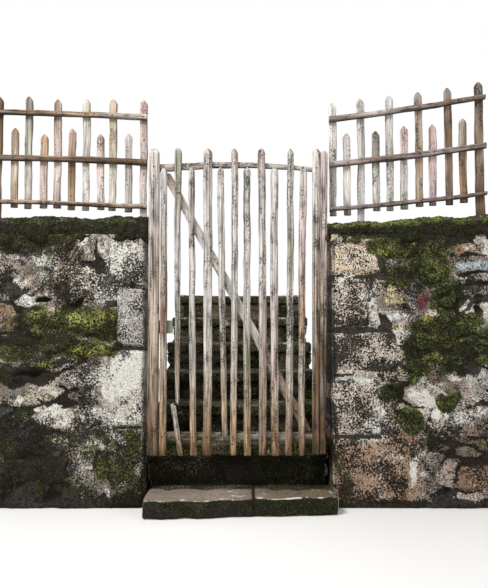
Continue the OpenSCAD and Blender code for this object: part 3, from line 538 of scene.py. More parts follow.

# Rubble walls. Stones that can be told apart in the photograph: x, z, half width, half height in mm, tone and
# how far it stands out in mm, as in the solid. Lime mortar, moss, lichen, damp, yellow moss and holes: x, z,
# half width, half height, strength; mortar outside the lime is lost in black soil. The damp patch at the very
# top of each wall is painted shadow under the coping, the holes are painted dark as the shadow inside them,
# and yellow moss is partly the moss's own colour and partly painted highlight on the lit tops of the cushions
wallLook = {
    "left_wall": {
        "stipple": 0.36, "green": 0.3,
        "stones": [(-781, 1272, 88, 66, "pinkGrey", 14), (-765, 1112, 78, 80, "speckled", 10),
                   (-1095, 1222, 76, 38, "rose", 9), (-1188, 1118, 88, 48, "olive", 8),
                   (-1042, 1095, 50, 58, "rose", 12), (-968, 1200, 36, 50, "speckled", 6),
                   (-930, 1085, 46, 52, "olive", 5), (-806, 648, 118, 72, "pinkGrey", 14),
                   (-935, 505, 82, 44, "speckled", 9), (-765, 498, 78, 50, "speckled", 10),
                   (-1090, 572, 62, 54, "middleGrey", 8), (-735, 375, 82, 44, "speckled", 6),
                   (-882, 398, 56, 40, "speckled", 6), (-1168, 752, 100, 66, "olive", 10),
                   (-1000, 686, 58, 54, "middleGrey", 8), (-762, 915, 138, 58, "olive", 30),
                   (-790, 766, 96, 32, "olive", 30), (-1000, 905, 84, 60, "olive", 16),
                   (-1190, 930, 92, 78, "brown", 12), (-960, 785, 66, 36, "darkGrey", 8),
                   (-800, 240, 108, 76, "middleGrey", 9), (-1040, 300, 96, 76, "darkGrey", 9),
                   (-1090, 440, 70, 38, "olive", 6), (-704, 100, 84, 56, "middleGrey", 7),
                   (-915, 84, 104, 62, "soil", 7), (-1150, 120, 112, 84, "soil", 7),
                   (-1236, 400, 68, 76, "darkGrey", 7), (-1180, 1306, 110, 34, "olive", 10),
                   (-960, 1305, 80, 34, "olive", 8)],
        "lime": [(-1030, 1030, 70, 30, 1), (-1010, 1235, 70, 24, 1), (-680, 1070, 60, 70, 1),
                 (-700, 640, 60, 70, 1), (-850, 440, 150, 50, 1), (-660, 480, 70, 90, 1),
                 (-640, 1240, 40, 90, 1), (-950, 590, 60, 30, 0.8)],
        "moss": [(-1080, 1335, 240, 80, 0.8), (-850, 1345, 50, 34, 0.8), (-790, 920, 190, 80, 0.95),
                 (-640, 915, 50, 70, 0.8), (-1010, 930, 120, 70, 0.72), (-670, 850, 70, 44, 0.85),
                 (-760, 765, 150, 46, 1), (-640, 765, 70, 40, 0.8), (-1050, 760, 210, 90, 0.6),
                 (-960, 700, 50, 24, 0.8), (-900, 830, 250, 40, 0.6), (-1190, 660, 60, 70, 0.6),
                 (-1060, 470, 80, 44, 0.6), (-950, 1060, 40, 40, 0.5), (-1040, 1160, 50, 34, 0.45),
                 (-1180, 1150, 60, 30, 0.5), (-780, 330, 160, 44, 0.5), (-650, 340, 50, 40, 0.62),
                 (-660, 200, 70, 70, 0.66), (-1110, 270, 70, 60, 0.5), (-960, 200, 260, 130, 0.42),
                 (-1130, 255, 60, 26, 0.62), (-950, 120, 66, 30, 0.6), (-1180, 60, 50, 30, 0.6),
                 (-800, 90, 120, 60, 0.5), (-1080, 110, 200, 110, 0.45), (-600, 200, 60, 60, 0.5),
                 (-510, 320, 40, 90, 0.66), (-560, 150, 90, 110, 0.5)],
        "yellow": [(-810, 915, 160, 46, 0.8), (-650, 965, 50, 34, 1), (-660, 850, 60, 24, 0.9),
                   (-760, 772, 120, 26, 1), (-840, 750, 50, 24, 0.8), (-1000, 940, 40, 40, 0.6),
                   (-960, 700, 50, 20, 0.9), (-510, 320, 30, 80, 0.5), (-660, 180, 50, 24, 0.5),
                   (-850, 1345, 50, 34, 0.6), (-1070, 365, 36, 16, 1)],
        "lichen": [(-790, 1320, 60, 40, 0.5), (-780, 1250, 100, 60, 0.36), (-640, 1080, 80, 80, 0.5),
                   (-1120, 1080, 80, 70, 0.5), (-1040, 1030, 66, 34, 0.62), (-1000, 1235, 60, 26, 0.6),
                   (-1120, 1225, 60, 40, 0.42), (-950, 1075, 60, 50, 0.42), (-1030, 1345, 30, 22, 0.7),
                   (-690, 650, 62, 64, 0.8), (-795, 625, 27, 27, 1), (-720, 690, 28, 26, 1),
                   (-740, 620, 20, 22, 1), (-800, 600, 130, 80, 0.36), (-945, 570, 56, 40, 0.46),
                   (-900, 440, 110, 64, 0.46), (-740, 450, 110, 60, 0.48), (-850, 300, 66, 16, 0.56),
                   (-725, 320, 40, 14, 0.6), (-740, 250, 70, 60, 0.42), (-660, 60, 50, 50, 0.42),
                   (-1090, 530, 24, 30, 0.6), (-1180, 470, 30, 40, 0.6), (-1000, 110, 40, 30, 0.42),
                   (-1190, 180, 30, 14, 0.75), (-1050, 215, 26, 12, 0.7), (-900, 270, 40, 12, 0.7),
                   (-1230, 90, 24, 16, 0.7), (-780, 190, 50, 40, 0.5), (-600, 400, 80, 60, 0.4),
                   (-560, 650, 110, 150, 0.7), (-640, 540, 46, 60, 0.8), (-560, 936, 70, 150, 0.4),
                   (-560, 1215, 110, 130, 0.5), (-578, 325, 26, 18, 1), (-600, 330, 20, 14, 1),
                   (-570, 100, 40, 14, 0.9), (-480, 250, 16, 260, 0.45)],
        # The damp patch at z 1390 is painted shadow under the coping
        "dampAndShade": [(-1060, 1300, 180, 70, 0.62), (-900, 1390, 300, 40, 0.8), (-1080, 825, 180, 34, 0.85),
                 (-900, 830, 170, 22, 0.85), (-1040, 640, 150, 52, 0.95), (-860, 705, 60, 26, 0.8),
                 (-960, 520, 60, 12, 0.85), (-1120, 430, 120, 50, 0.6), (-1010, 350, 130, 50, 0.7),
                 (-880, 350, 160, 34, 0.6), (-1000, 240, 150, 50, 0.75), (-1080, 120, 260, 150, 0.78),
                 (-900, 60, 160, 80, 0.85), (-1000, 200, 260, 160, 0.66), (-860, 230, 60, 80, 0.5),
                 (-640, 260, 60, 40, 0.45), (-700, 30, 200, 40, 0.8), (-1080, 1060, 60, 16, 0.7),
                 (-860, 1060, 60, 50, 0.62), (-740, 1050, 60, 50, 0.5), (-545, 30, 100, 60, 0.7),
                 (-560, 210, 60, 46, 0.5), (-540, 600, 40, 20, 0.2), (-640, 240, 20, 200, 0.5),
                 (-520, 130, 50, 30, 0.5)],
        "hole": [(-985, 1010, 42, 18, 1), (-798, 1012, 40, 16, 0.9), (-1040, 640, 70, 20, 0.9)]},
    "right_wall": {
        "stipple": 0.33, "green": 0.2,
        "stones": [(787, 1055, 60, 62, "cream", 15), (921, 1022, 42, 52, "oxblood", 7),
                   (818, 933, 76, 35, "pinkGrey", 10), (1178, 1272, 122, 38, "brown", 12),
                   (1186, 1192, 118, 27, "blueWhite", 10), (1192, 1134, 110, 24, "rose", 12),
                   (1205, 1072, 100, 29, "middleGrey", 9), (1132, 990, 40, 46, "speckled", 6),
                   (1272, 968, 32, 62, "speckled", 7), (1057, 552, 64, 50, "olive", 28),
                   (864, 458, 98, 64, "straw", 30), (768, 600, 46, 40, "olive", 24),
                   (990, 338, 46, 34, "darkGrey", 18), (912, 584, 36, 22, "pinkGrey", 8),
                   (1176, 378, 120, 112, "earthGrey", 16), (1165, 145, 130, 76, "brown", 14),
                   (960, 205, 68, 84, "earthGrey", 10), (1215, 560, 82, 50, "middleGrey", 10),
                   (896, 822, 80, 54, "olive", 20), (1075, 876, 84, 58, "olive", 24),
                   (1056, 728, 80, 50, "olive", 20), (1230, 856, 62, 44, "middleGrey", 9),
                   (1215, 722, 70, 52, "middleGrey", 10), (862, 700, 50, 44, "pinkGrey", 8),
                   (812, 1190, 88, 54, "darkGrey", 10), (972, 1165, 64, 66, "olive", 22),
                   (836, 1302, 84, 34, "olive", 12), (994, 1292, 54, 38, "olive", 12),
                   (935, 60, 58, 36, "earthGrey", 7), (1030, 1030, 50, 52, "olive", 22)],
        "lime": [(884, 225, 20, 110, 0.75), (960, 560, 130, 70, 1), (1060, 450, 90, 60, 1),
                 (800, 345, 110, 24, 1), (1170, 920, 50, 50, 1), (665, 930, 40, 50, 1),
                 (560, 1140, 80, 20, 1), (600, 645, 120, 20, 1), (1170, 600, 70, 70, 1),
                 (720, 480, 50, 80, 1), (850, 1000, 20, 60, 1), (780, 970, 90, 12, 0.8),
                 (1030, 130, 30, 60, 0.7)],
        "moss": [(760, 1335, 330, 36, 0.7), (850, 1290, 240, 90, 0.85), (690, 1270, 70, 44, 0.75),
                 (960, 1170, 140, 110, 0.85), (800, 1150, 110, 60, 0.62), (1050, 1040, 90, 110, 0.85),
                 (780, 1110, 70, 34, 0.66), (940, 925, 50, 34, 0.85), (905, 850, 70, 40, 0.8),
                 (1040, 900, 200, 60, 0.85), (880, 770, 80, 80, 0.8), (1060, 780, 220, 110, 0.85),
                 (1220, 800, 90, 90, 0.7), (880, 660, 90, 60, 0.75), (1020, 660, 60, 40, 0.6),
                 (1057, 528, 66, 52, 0.95), (830, 430, 100, 80, 0.85), (740, 570, 56, 48, 0.95),
                 (970, 315, 50, 36, 0.7), (1160, 270, 100, 50, 0.5), (500, 200, 50, 150, 0.5),
                 (520, 60, 60, 60, 0.45), (1290, 820, 60, 90, 0.5), (640, 1285, 60, 30, 0.6),
                 (540, 350, 60, 24, 0.5), (1200, 640, 60, 30, 0.4)],
        "yellow": [(760, 1250, 130, 30, 0.8), (790, 1120, 70, 26, 0.8), (940, 935, 46, 24, 1),
                   (930, 860, 80, 22, 0.7), (1050, 815, 60, 40, 0.7), (950, 715, 56, 22, 0.8),
                   (990, 1170, 60, 50, 0.3), (860, 470, 90, 30, 0.4), (790, 1050, 60, 60, 0.6),
                   (500, 400, 26, 200, 0.3)],
        "lichen": [(770, 1040, 70, 56, 0.36), (800, 935, 80, 30, 0.5), (1130, 1190, 90, 22, 0.4),
                   (1120, 1130, 60, 24, 0.4), (1160, 1070, 80, 34, 0.44), (1150, 980, 50, 50, 0.5),
                   (1115, 840, 30, 18, 1), (810, 845, 44, 30, 0.8), (900, 545, 80, 50, 0.56),
                   (960, 470, 40, 80, 0.55), (1080, 440, 90, 40, 0.5), (1190, 550, 80, 50, 0.45),
                   (884, 200, 24, 130, 0.56), (1140, 400, 100, 70, 0.3), (930, 240, 50, 50, 0.38),
                   (940, 160, 30, 24, 0.6), (660, 930, 34, 46, 0.8), (560, 1140, 60, 16, 0.7),
                   (630, 1060, 30, 60, 0.55), (560, 1020, 60, 80, 0.36), (600, 780, 120, 90, 0.36),
                   (640, 860, 110, 30, 0.46), (600, 630, 110, 22, 0.6), (680, 440, 46, 100, 0.6),
                   (520, 540, 40, 100, 0.42), (600, 380, 100, 24, 0.5), (600, 1230, 120, 70, 0.4),
                   (1000, 400, 40, 60, 0.4), (760, 760, 40, 70, 0.4), (1160, 910, 50, 22, 0.7),
                   (1050, 640, 70, 20, 0.6), (1250, 660, 60, 60, 0.4)],
        # The damp patch at z 1360 is painted shadow under the coping
        "dampAndShade": [(970, 310, 50, 40, 0.55), (1010, 60, 66, 50, 0.9), (760, 1360, 330, 30, 0.75),
                 (1200, 10, 300, 34, 0.8), (1190, 228, 130, 16, 0.8), (1080, 765, 130, 34, 0.7),
                 (1150, 690, 70, 60, 0.7), (800, 10, 300, 24, 0.7), (1180, 336, 90, 10, 0.7),
                 (560, 1000, 70, 60, 0.45), (650, 950, 40, 40, 0.3), (560, 790, 70, 70, 0.42),
                 (660, 740, 60, 60, 0.42), (615, 510, 34, 80, 0.55), (550, 560, 36, 34, 0.45),
                 (570, 440, 50, 24, 0.35), (474, 700, 20, 700, 0.62), (510, 100, 60, 90, 0.6),
                 (520, 260, 40, 60, 0.5), (1010, 1100, 110, 60, 0.35), (1180, 1228, 130, 10, 0.7),
                 (800, 1190, 60, 40, 0.4), (600, 1118, 60, 8, 0.6), (1100, 890, 60, 30, 0.4),
                 (600, 345, 140, 8, 0.5)],
        "hole": [(1208, 970, 26, 36, 1), (1010, 70, 40, 30, 0.7)]}}

# Jamb stones from the ground up: tone, corner radius and depth of the dents in mm, amount of black stipple
jambLook = {
    "left_jamb_stones": [("olive", 26, 10, 0.44), ("chalk", 20, 7, 0.25), ("violetGrey", 20, 8, 0.35),
                         ("paleGrey", 24, 9, 0.38)],
    "right_jamb_stones": [("fawn", 52, 13, 0.37), ("mottled", 28, 10, 0.36), ("mottled", 32, 12, 0.44),
                          ("mottled", 28, 11, 0.47), ("straw", 34, 11, 0.33)]}
jambCells = {"face": 0.008, "depth": 0.024}
jambCover = {"lichen": 0.24, "yellow": 0.15, "arris": 0.035, "arrisShadow": 0.5, "foot": 0.09, "footDamp": 0.85}
jambNoise = {"lichen": (0.2, 0.09, 1, 4), "stipple": (0.2, 0.075, 3, 30)}
arrisNoise = {"arris": (1, 0.05, 1, 3)}


def addJambStones(name, look, cells, cover, patchLook):
    skins = []
    for i, corners in enumerate(solidsOf(name, 2)):
        low, high = corners.min((0, 1)), corners.max((0, 1))
        tone, radius, dent, stipple = look[i]
        steps = (cells["face"], cells["depth"], cells["face"])
        points, faces, _ = wornBlock(low, high, steps, radius / 1000, dent / 1000, 31 * i + len(name))
        colour = stoneColour(points, tone, 7 * i + len(name))
        noise = {**noiseFields(points, jambNoise, i), **noiseFields(points, arrisNoise)}
        moss, lichen, dampAndShade, yellow = coverAt(points[:, 0], points[:, 2], patchLook).T
        lichen = np.maximum(lichen, cover["lichen"] + noise["lichen"])
        yellow = np.maximum(yellow, cover["yellow"])
        # A dark strip along the arris next to the opening is painted shadow of the gap between leaf and jamb
        arris = ease(cover["arris"], 0.0, np.abs(points[:, 0]) - min(abs(low[0]), abs(high[0])))
        dampAndShade = np.maximum(dampAndShade, stipple + noise["stipple"])
        dampAndShade = np.maximum(dampAndShade, cover["arrisShadow"] * arris * ease(-0.5, 0.3, noise["arris"]))
        dampAndShade = np.maximum(dampAndShade, cover["footDamp"] * ease(cover["foot"], 0.0, points[:, 2]))
        skins.append((points, faces, colour, np.clip(np.stack([moss, lichen, dampAndShade, yellow], 1), 0, 1)))
    points, faces, colour, layers = joined(skins)
    addPiece(name + "_dressed", points, faces, dressedGranite, "surround", [name],
             {"tone": toneLayer(colour), "cover": layers})


for jambName in jambLook:
    patchLook = wallLook[jambName.replace("jamb_stones", "wall")]
    addJambStones(jambName, jambLook[jambName], jambCells, jambCover, patchLook)
print("jamb stones ready")

# Masonry in metres: cells, how far mortar, jamb pockets, bed joints and the outer end lie back, the width of
# a joint, the swell of a stone and the moss on it, the wet foot, and the rubble that fills the rest
rubble = {"faceStep": 0.007, "depthStep": 0.018, "mortarBack": 0.010, "pocketBack": 0.008, "bedBack": 0.010,
          "endBack": 0.012, "joint": 0.012, "dome": 0.026, "bulge": 0.010, "mossThick": 0.016,
          "holeDeep": 0.036, "wetFoot": 0.10, "bedHalf": 0.03,
          "fillCourse": (0.07, 0.16), "fillLength": (0.09, 0.30),
          "fillTones": ["pinkGrey", "speckled", "rose", "middleGrey", "earthGrey"],
          "backTones": ["pinkGrey", "speckled", "middleGrey", "earthGrey", "rose"]}
wallNoise = {"edge": (0.003, 0.014, 1, 8), "mortar": (0.5, 0.06, 1, 12), "relief": (0.0085, 0.055, 4, 9),
             "tooling": (0.006, (0.05, 0.022, 1), 1, 10), "tuft": (0.5, 0.045, 1, 17),
             "tip": (0.3, 0.018, 1, 18), "hiddenMoss": (1, 0.16, 3, 13), "jointMoss": (1, 0.12, 1, 14),
             "green": (0.26, 0.1, 3, 27), "lichen": (0.16, 0.11, 1, 15), "foot": (0.03, 0.07, 1, 16),
             "jointDamp": (1, 0.11, 1, 22), "stipple": (0.24, 0.1, 3, 23), "yellow": (1, 0.08, 1, 25),
             "smear": (0.022, 0.05, 3, 24), "tone": (0.2, 0.09, 4, 20)}
stoneBends = {"across": (0.016, 0.085, 1, 0), "acrossFine": (0.007, 0.028, 1, 1),
              "up": (0.015, 0.075, 1, 2), "upFine": (0.007, 0.030, 1, 3)}


# Rubble stones in courses of changing height and length, with seeded tones, for the faces not seen
def fillStones(start, end, top, seed, settings):
    random = np.random.default_rng(seed)
    stones = []
    z = -0.02
    while z < top:
        height = random.uniform(*settings["fillCourse"])
        s = start - random.uniform(0, 0.15)
        while s < end:
            length = random.uniform(*settings["fillLength"])
            tone = toneList.index(random.choice(settings["fillTones"]))
            stones.append((s + length / 2, z + height / 2 + random.uniform(-0.01, 0.01), length / 2 - 0.006,
                           height / 2 - 0.006, tone, random.uniform(-0.003, 0.006)))
            s += length
        z += height
    return stones


# Places stones on a face: a stone is a rounded box in the power of four, on coordinates bent by noise; the
# distance to its edge is the smaller of its own margin and half the way to the next stone
def layStones(s, z, stones, seed):
    bend = noiseFields(np.stack([s, z, np.zeros_like(s)], 1), stoneBends, seed)
    bentS = (s + bend["across"] + bend["acrossFine"]).astype(np.float32)
    bentZ = (z + bend["up"] + bend["upFine"]).astype(np.float32)
    table = np.array([stone[:4] for stone in stones], np.float32)
    across = np.abs((bentS[:, None] - table[:, 0]) / table[:, 2]) ** 4
    up = np.abs((bentZ[:, None] - table[:, 1]) / table[:, 3]) ** 4
    margin = ((across + up) ** 0.25 - 1) * np.minimum(table[:, 2], table[:, 3])
    nearest = margin.argmin(1)
    two = np.partition(margin, 1, axis=1)[:, :2]
    return nearest, np.minimum(-two[:, 0], (two[:, 1] - two[:, 0]) / 2)


# A wall as a box of cells; s runs along the front, the outer end and the back. The front is at y = 0, and
# the back is as far behind the jamb stones as the front is before them
def wallBox(name, jambName, settings):
    low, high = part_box(name)
    jambLow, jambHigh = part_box(jambName)
    side = 1 if low[0] > 0 else -1
    near, far = sorted((abs(low[0]), abs(high[0])))
    length, depth = far - near, jambHigh[1] + jambLow[1]
    points, quads = boxSkin([np.sort(side * evenly(near, far, settings["faceStep"])),
                             evenly(0, depth, settings["depthStep"]),
                             evenly(low[2], high[2], settings["faceStep"])])
    x, y, z = points.T
    run = np.abs(x) - near
    onFront, onBack = y < 1e-5, y > depth - 1e-5
    onEnd = (run > length - 1e-5) & ~onFront & ~onBack
    s = np.where(onBack, 2 * length + depth - run, np.where(onEnd, length + y, run))
    return {"points": points, "quads": quads, "x": x, "z": z, "s": s, "side": side, "near": near, "far": far,
            "length": length, "around": 2 * length + depth, "foot": low[2], "top": high[2],
            "onFront": onFront, "onBack": onBack, "onEnd": onEnd,
            "jambReach": max(abs(jambLow[0]), abs(jambHigh[0]))}


# All stones of a wall (s, z, half width, half height, tone, height): those of the look on the front, the same
# in greys on the back, and filling rubble where its middle is clear of them
def wallStones(look, settings, wall):
    chosen = [(abs(x) / 1000 - wall["near"], z / 1000, halfS / 1000, halfZ / 1000, toneList.index(tone),
               lift / 1000) for x, z, halfS, halfZ, tone, lift in look["stones"]]
    greys = [toneList.index(tone) for tone in settings["backTones"]]
    chosen += [(wall["around"] - s, z, halfS, halfZ, greys[k % len(greys)], lift * 0.8)
               for k, (s, z, halfS, halfZ, tone, lift) in enumerate(chosen)]
    fill = [stone for stone in fillStones(0, wall["around"], wall["top"], 5 + wall["side"], settings)
            if all(abs(stone[0] - s) > 0.7 * halfS or abs(stone[1] - z) > 0.7 * halfZ
                   for s, z, halfS, halfZ, tone, lift in chosen)]
    return np.array(chosen + fill)


# Cover of a wall: the patches of the look on the front, moss in patches on the faces not seen and in the
# joints outside the lime, black stipple, damp at the foot and in joints, and painted shadow in holes
def wallCover(wall, look, settings, noise, tone, stoneMask):
    x, z = wall["side"] * (wall["near"] + wall["s"]), wall["z"]
    front = ease(wall["length"] + 0.02, wall["length"] - 0.02, wall["s"])
    moss, lichen, dampAndShade, yellow = (coverAt(x, z, look) * front[:, None]).T
    lime, hole = patches(x, z, look, "lime") * front, patches(x, z, look, "hole") * front
    limeless, inJoint = ease(0.5, 0.2, lime), 1 - stoneMask
    moss = np.maximum(moss, (1 - front) * ease(0.25, 0.9, noise["hiddenMoss"] + 0.5 * ease(0.9, 1.35, z)))
    moss = np.maximum(moss, 0.5 * inJoint * ease(0.0, 0.6, noise["jointMoss"]) * limeless)
    moss = np.maximum(moss, front * (look["green"] + noise["green"]) * limeless * ease(0.6, 0.4, lichen))
    lichen = np.maximum(lichen, 0.34 + noise["lichen"])
    lichen = np.where(tone == toneList.index("soil"), lichen * 0.4, lichen)
    dampAndShade = np.maximum(dampAndShade, 0.85 * ease(settings["wetFoot"], 0.0, z + noise["foot"]))
    # Holes get painted shadow: dark mixed in by their strength
    dampAndShade = np.maximum(np.maximum(dampAndShade, 0.8 * hole), look["stipple"] + noise["stipple"])
    coloured = np.isin(tone, [toneList.index("oxblood"), toneList.index("blueWhite")])
    dampAndShade = np.where(coloured & (stoneMask > 0.6), dampAndShade * 0.7, dampAndShade)
    lichen = np.where(coloured, lichen * 0.8, lichen)
    joints = ease(0.3, 0.95, inJoint) * limeless * ease(-0.5, 0.3, noise["jointDamp"])
    dampAndShade = np.maximum(dampAndShade, 0.8 * joints)
    yellow = np.maximum(yellow, 0.25 * ease(-0.1, 0.6, noise["yellow"]))
    return moss, lichen, dampAndShade, yellow, lime, hole


# Where the jamb stones fill their pockets in a wall, how far the face of each is smeared over the rubble
# beside it, and the bed joints between two of them
def jambMarks(wall, jambName, smearNoise, settings):
    pocket, beside = np.zeros((2, len(wall["x"])))
    smears = []
    for corners in solidsOf(jambName, 2):
        low, high = corners.min((0, 1)), corners.max((0, 1))
        within = np.minimum(wall["x"] - low[0], high[0] - wall["x"])
        inside = np.minimum(within, np.minimum(wall["z"] - low[2], high[2] - wall["z"]))
        pocket = np.maximum(pocket, ease(-0.004, 0.004, inside) * (wall["onFront"] | wall["onBack"]))
        smears.append(ease(-0.050, -0.006, inside + smearNoise) * wall["onFront"])
        toBed = np.minimum(np.abs(wall["z"] - low[2]), np.abs(wall["z"] - high[2]))
        beside += (within > -0.004) & wall["onFront"] & (toBed < settings["bedHalf"])
    return pocket, smears, (beside > 1.5) & (pocket < 0.5)


# One wall: every point of the front, end and back moves out by its stone's dome, or back to the mortar
def addWall(name, look, settings, jambName):
    wall = wallBox(name, jambName, settings)
    z, sides = wall["z"], wall["onFront"] | wall["onBack"] | wall["onEnd"]
    noise = noiseFields(np.stack([wall["s"], z, 0 * z], 1), wallNoise)
    stones = wallStones(look, settings, wall)
    nearest, edge = layStones(wall["s"], z, stones, 40 + wall["side"])
    tone, lift = stones[nearest, 4].astype(int), stones[nearest, 5]
    stoneMask = ease(0.0, settings["joint"], edge + noise["edge"])
    moss, lichen, dampAndShade, yellow, lime, hole = wallCover(wall, look, settings, noise, tone, stoneMask)
    pocket, smears, bed = jambMarks(wall, jambName, noise["smear"], settings)
    bed = bed & (lime < 0.5)

    dome = 1 - np.exp(-np.maximum(edge, 0) / settings["dome"])
    height = stoneMask * (lift * dome + settings["bulge"] * (dome - 0.5))
    height -= settings["mortarBack"] * (0.65 + noise["mortar"]) * (1 - stoneMask)
    height += noise["relief"] * (0.45 + 0.55 * stoneMask) - np.abs(noise["tooling"]) * stoneMask
    tufts = 0.5 + noise["tuft"] + noise["tip"]
    height += settings["mossThick"] * ease(0.3, 1.0, moss) * tufts * (0.4 + 0.6 * stoneMask)
    height -= settings["holeDeep"] * hole
    raised = (np.abs(wall["x"]) < wall["jambReach"]) & (pocket < 0.5) & (np.max(smears, axis=0) > 0.5)
    height = np.where(raised, np.maximum(height, -0.003), height)
    height = height * (1 - pocket) - settings["pocketBack"] * pocket
    height = np.where(bed, -settings["bedBack"], height)
    height = np.where(wall["onEnd"], height - settings["endBack"], height)
    height *= ease(0.0, 0.02, wall["top"] - z + 0.012)
    outward = outwardOf(wall["points"], wall["quads"])
    points = wall["points"] + outward * np.where(sides, height, 0)[:, None]
    points[:, 0] = wall["side"] * np.clip(np.abs(points[:, 0]), 0, wall["far"])
    points[:, 2] = np.clip(points[:, 2], wall["foot"], wall["top"])

    turn = ((nearest * 0.618) % 1)[:, None] - 0.5  # lighter and darker stones
    warmth = np.sin(nearest * 2.3)[:, None] * (1, 0, -1)
    colour = toneValues[tone] * (1 + 0.25 * turn) * (1 + 0.06 * warmth)
    bond = blend(toneValues[toneList.index("earthGrey")], toneValues[toneList.index("lime")], lime)
    colour = blend(bond, colour, stoneMask)
    for dressed, smear in zip(jambLook[jambName], smears):
        colour = blend(colour, linear(stoneTones[dressed[0]]), smear)
    colour = colour * (1 + noise["tone"])[:, None]
    cover = np.clip(np.stack([moss, lichen, np.where(bed, 0.95, dampAndShade), yellow], 1), 0, 1)
    addPiece(name + "_rubble", points, [wall["quads"]], rubbleGranite, "surround", [name],
             {"tone": toneLayer(colour), "cover": cover})


for wallName in wallLook:
    addWall(wallName, wallLook[wallName], rubble, wallName.replace("wall", "jamb_stones"))
print("walls ready")

# Copings: turf and moss over flat stones that lie bare here and there. The yellow band is the lit edge of the
# moss at the front, and the moss hangs over the wall by hang
copingSize = {"along": 190, "around": 84, "tuft": 0.007, "hang": 0.042}
copingLook = {"left_coping": {**copingSize, "dampAndShade": 0.42, "lump": 0.018, "yellow": 0.0, "bare": 0.1},
              "right_coping": {**copingSize, "dampAndShade": 0.2, "lump": 0.014, "yellow": 0.8, "bare": 0.02}}
moundNoise = {"lump": (0.5, 0.11, 3, 21), "tuft": (1, 0.022, 1, 22), "tip": (0.6, 0.009, 1, 23)}
hangNoise = {"hang": (0.9, 0.10, 4, 24)}
turfNoise = {"bare": (1, 0.05, 1, 25), "yellow": (0.6, 0.06, 1, 26), "edge": (0.06, 0.05, 1, 27),
             "dampAndShade": (0.2, 0.07, 1, 28)}


# A mound carried along the wall top: at each x the section is half an oval of the height cut from the
# solid, on a flat base, and noise in three sizes lifts lumps and tufts; the ends are closed by fans
def addCoping(name, look):
    corners = solidOf(name)
    low, high = corners.min((0, 1)), corners.max((0, 1))
    xs = np.linspace(low[0], high[0], look["along"])
    inside = np.clip(xs, low[0] + 1e-4, high[0] - 1e-4)
    base, top, front, back = cutSolid(corners, 0, 2, inside)
    turn = np.linspace(0, math.pi, look["around"])
    middle, half = (front + back)[:, None] / 2, (back - front)[:, None] / 2
    y = middle - half * np.sign(np.cos(turn)) * np.abs(np.cos(turn)) ** 0.8
    z = base[:, None] + (top - base)[:, None] * np.sin(turn) ** 0.5
    points = np.stack([xs[:, None] + 0 * y, y, z], -1).reshape(-1, 3)
    outward = np.tile(np.stack([0 * turn, -np.cos(turn), np.sin(turn)], 1), (len(xs), 1))
    noise = noiseFields(points, moundNoise)
    raised = look["lump"] * (noise["lump"] - 0.35) + look["tuft"] * (noise["tuft"] + noise["tip"])
    points += outward * raised[:, None]
    share = np.tile(turn / math.pi, len(xs))
    frontEdge = ease(0.35, 0.05, share)
    hanging = np.clip(0.55 + noiseFields(points * (1, 0, 0), hangNoise)["hang"], 0.35, 1.8)
    points[:, 2] -= look["hang"] * frontEdge * hanging
    points[:, 1] += look["hang"] * frontEdge * np.clip(0.9 - hanging, 0, 1)
    centres = [[xs[k], (front[0] + back[0]) / 2, (base[0] + top[k]) / 2] for k in (0, -1)]
    points = np.concatenate([points, centres])
    points[:, 0] = np.clip(points[:, 0], low[0], high[0])
    faces = facedOut(points, ringFaces(len(xs), len(turn)))

    noise = noiseFields(points * (1, 0.6, 1), turfNoise)
    share = np.concatenate([share, [0.5, 0.5]])
    bare = ease(0.25, 0.6, noise["bare"] + look["bare"])
    yellow = look["yellow"] * ease(0.10, 0.2, share) * ease(0.55, 0.3, share) * (0.6 + noise["yellow"])
    # The lower front of the mound is painted dark: painted shadow under the overhanging moss, over the damp
    # of bare stone
    dampAndShade = 0.95 * ease(0.24, 0.08, share + noise["edge"]) + 0.45 * bare
    dampAndShade = np.maximum(dampAndShade, look["dampAndShade"] + noise["dampAndShade"])
    colour = blend(linear(stoneTones["soil"]), linear(stoneTones["earthGrey"]), bare)
    cover = np.clip(np.stack([1 - 0.9 * bare, 0.25 * bare, dampAndShade, yellow], 1), 0, 1)
    addPiece(name + "_turf", points, faces, mossTurf, "surround", [name],
             {"tone": toneLayer(colour), "cover": cover})


for copingName in copingLook:
    addCoping(copingName, copingLook[copingName])
print("copings ready")

# Threshold slabs: two worn blocks whose front edge slants in plan as the solids' front does. The rim is a
# painted highlight along the lit front edge of the top, drawn in the pale lichen colour, ragged how far that
# edge wanders, and the slabs close the joint at their middle by closed
slabLook = {"tones": ("slabPink", "slabGreen"), "step": 0.009, "radius": 0.012, "dent": 0.007, "rim": 0.026,
            "ragged": 0.014, "closed": 0.006, "jambGap": 0.003, "behindJambs": -0.012, "lichen": 0.16,
            "yellow": 0.1, "crack": 0.016}
raggedNoise = {"ragged": (0.8, 0.09, 4, 64)}
slabNoise = {"green": (0.1, 0.1, 1, 65), "rim": (1, 0.06, 3, 66), "behind": (0.03, 0.06, 3, 67),
             "grime": (0.2, 0.05, 4, 68), "faceMoss": (1, 0.05, 1, 63), "backMoss": (1, 0.06, 1, 69)}


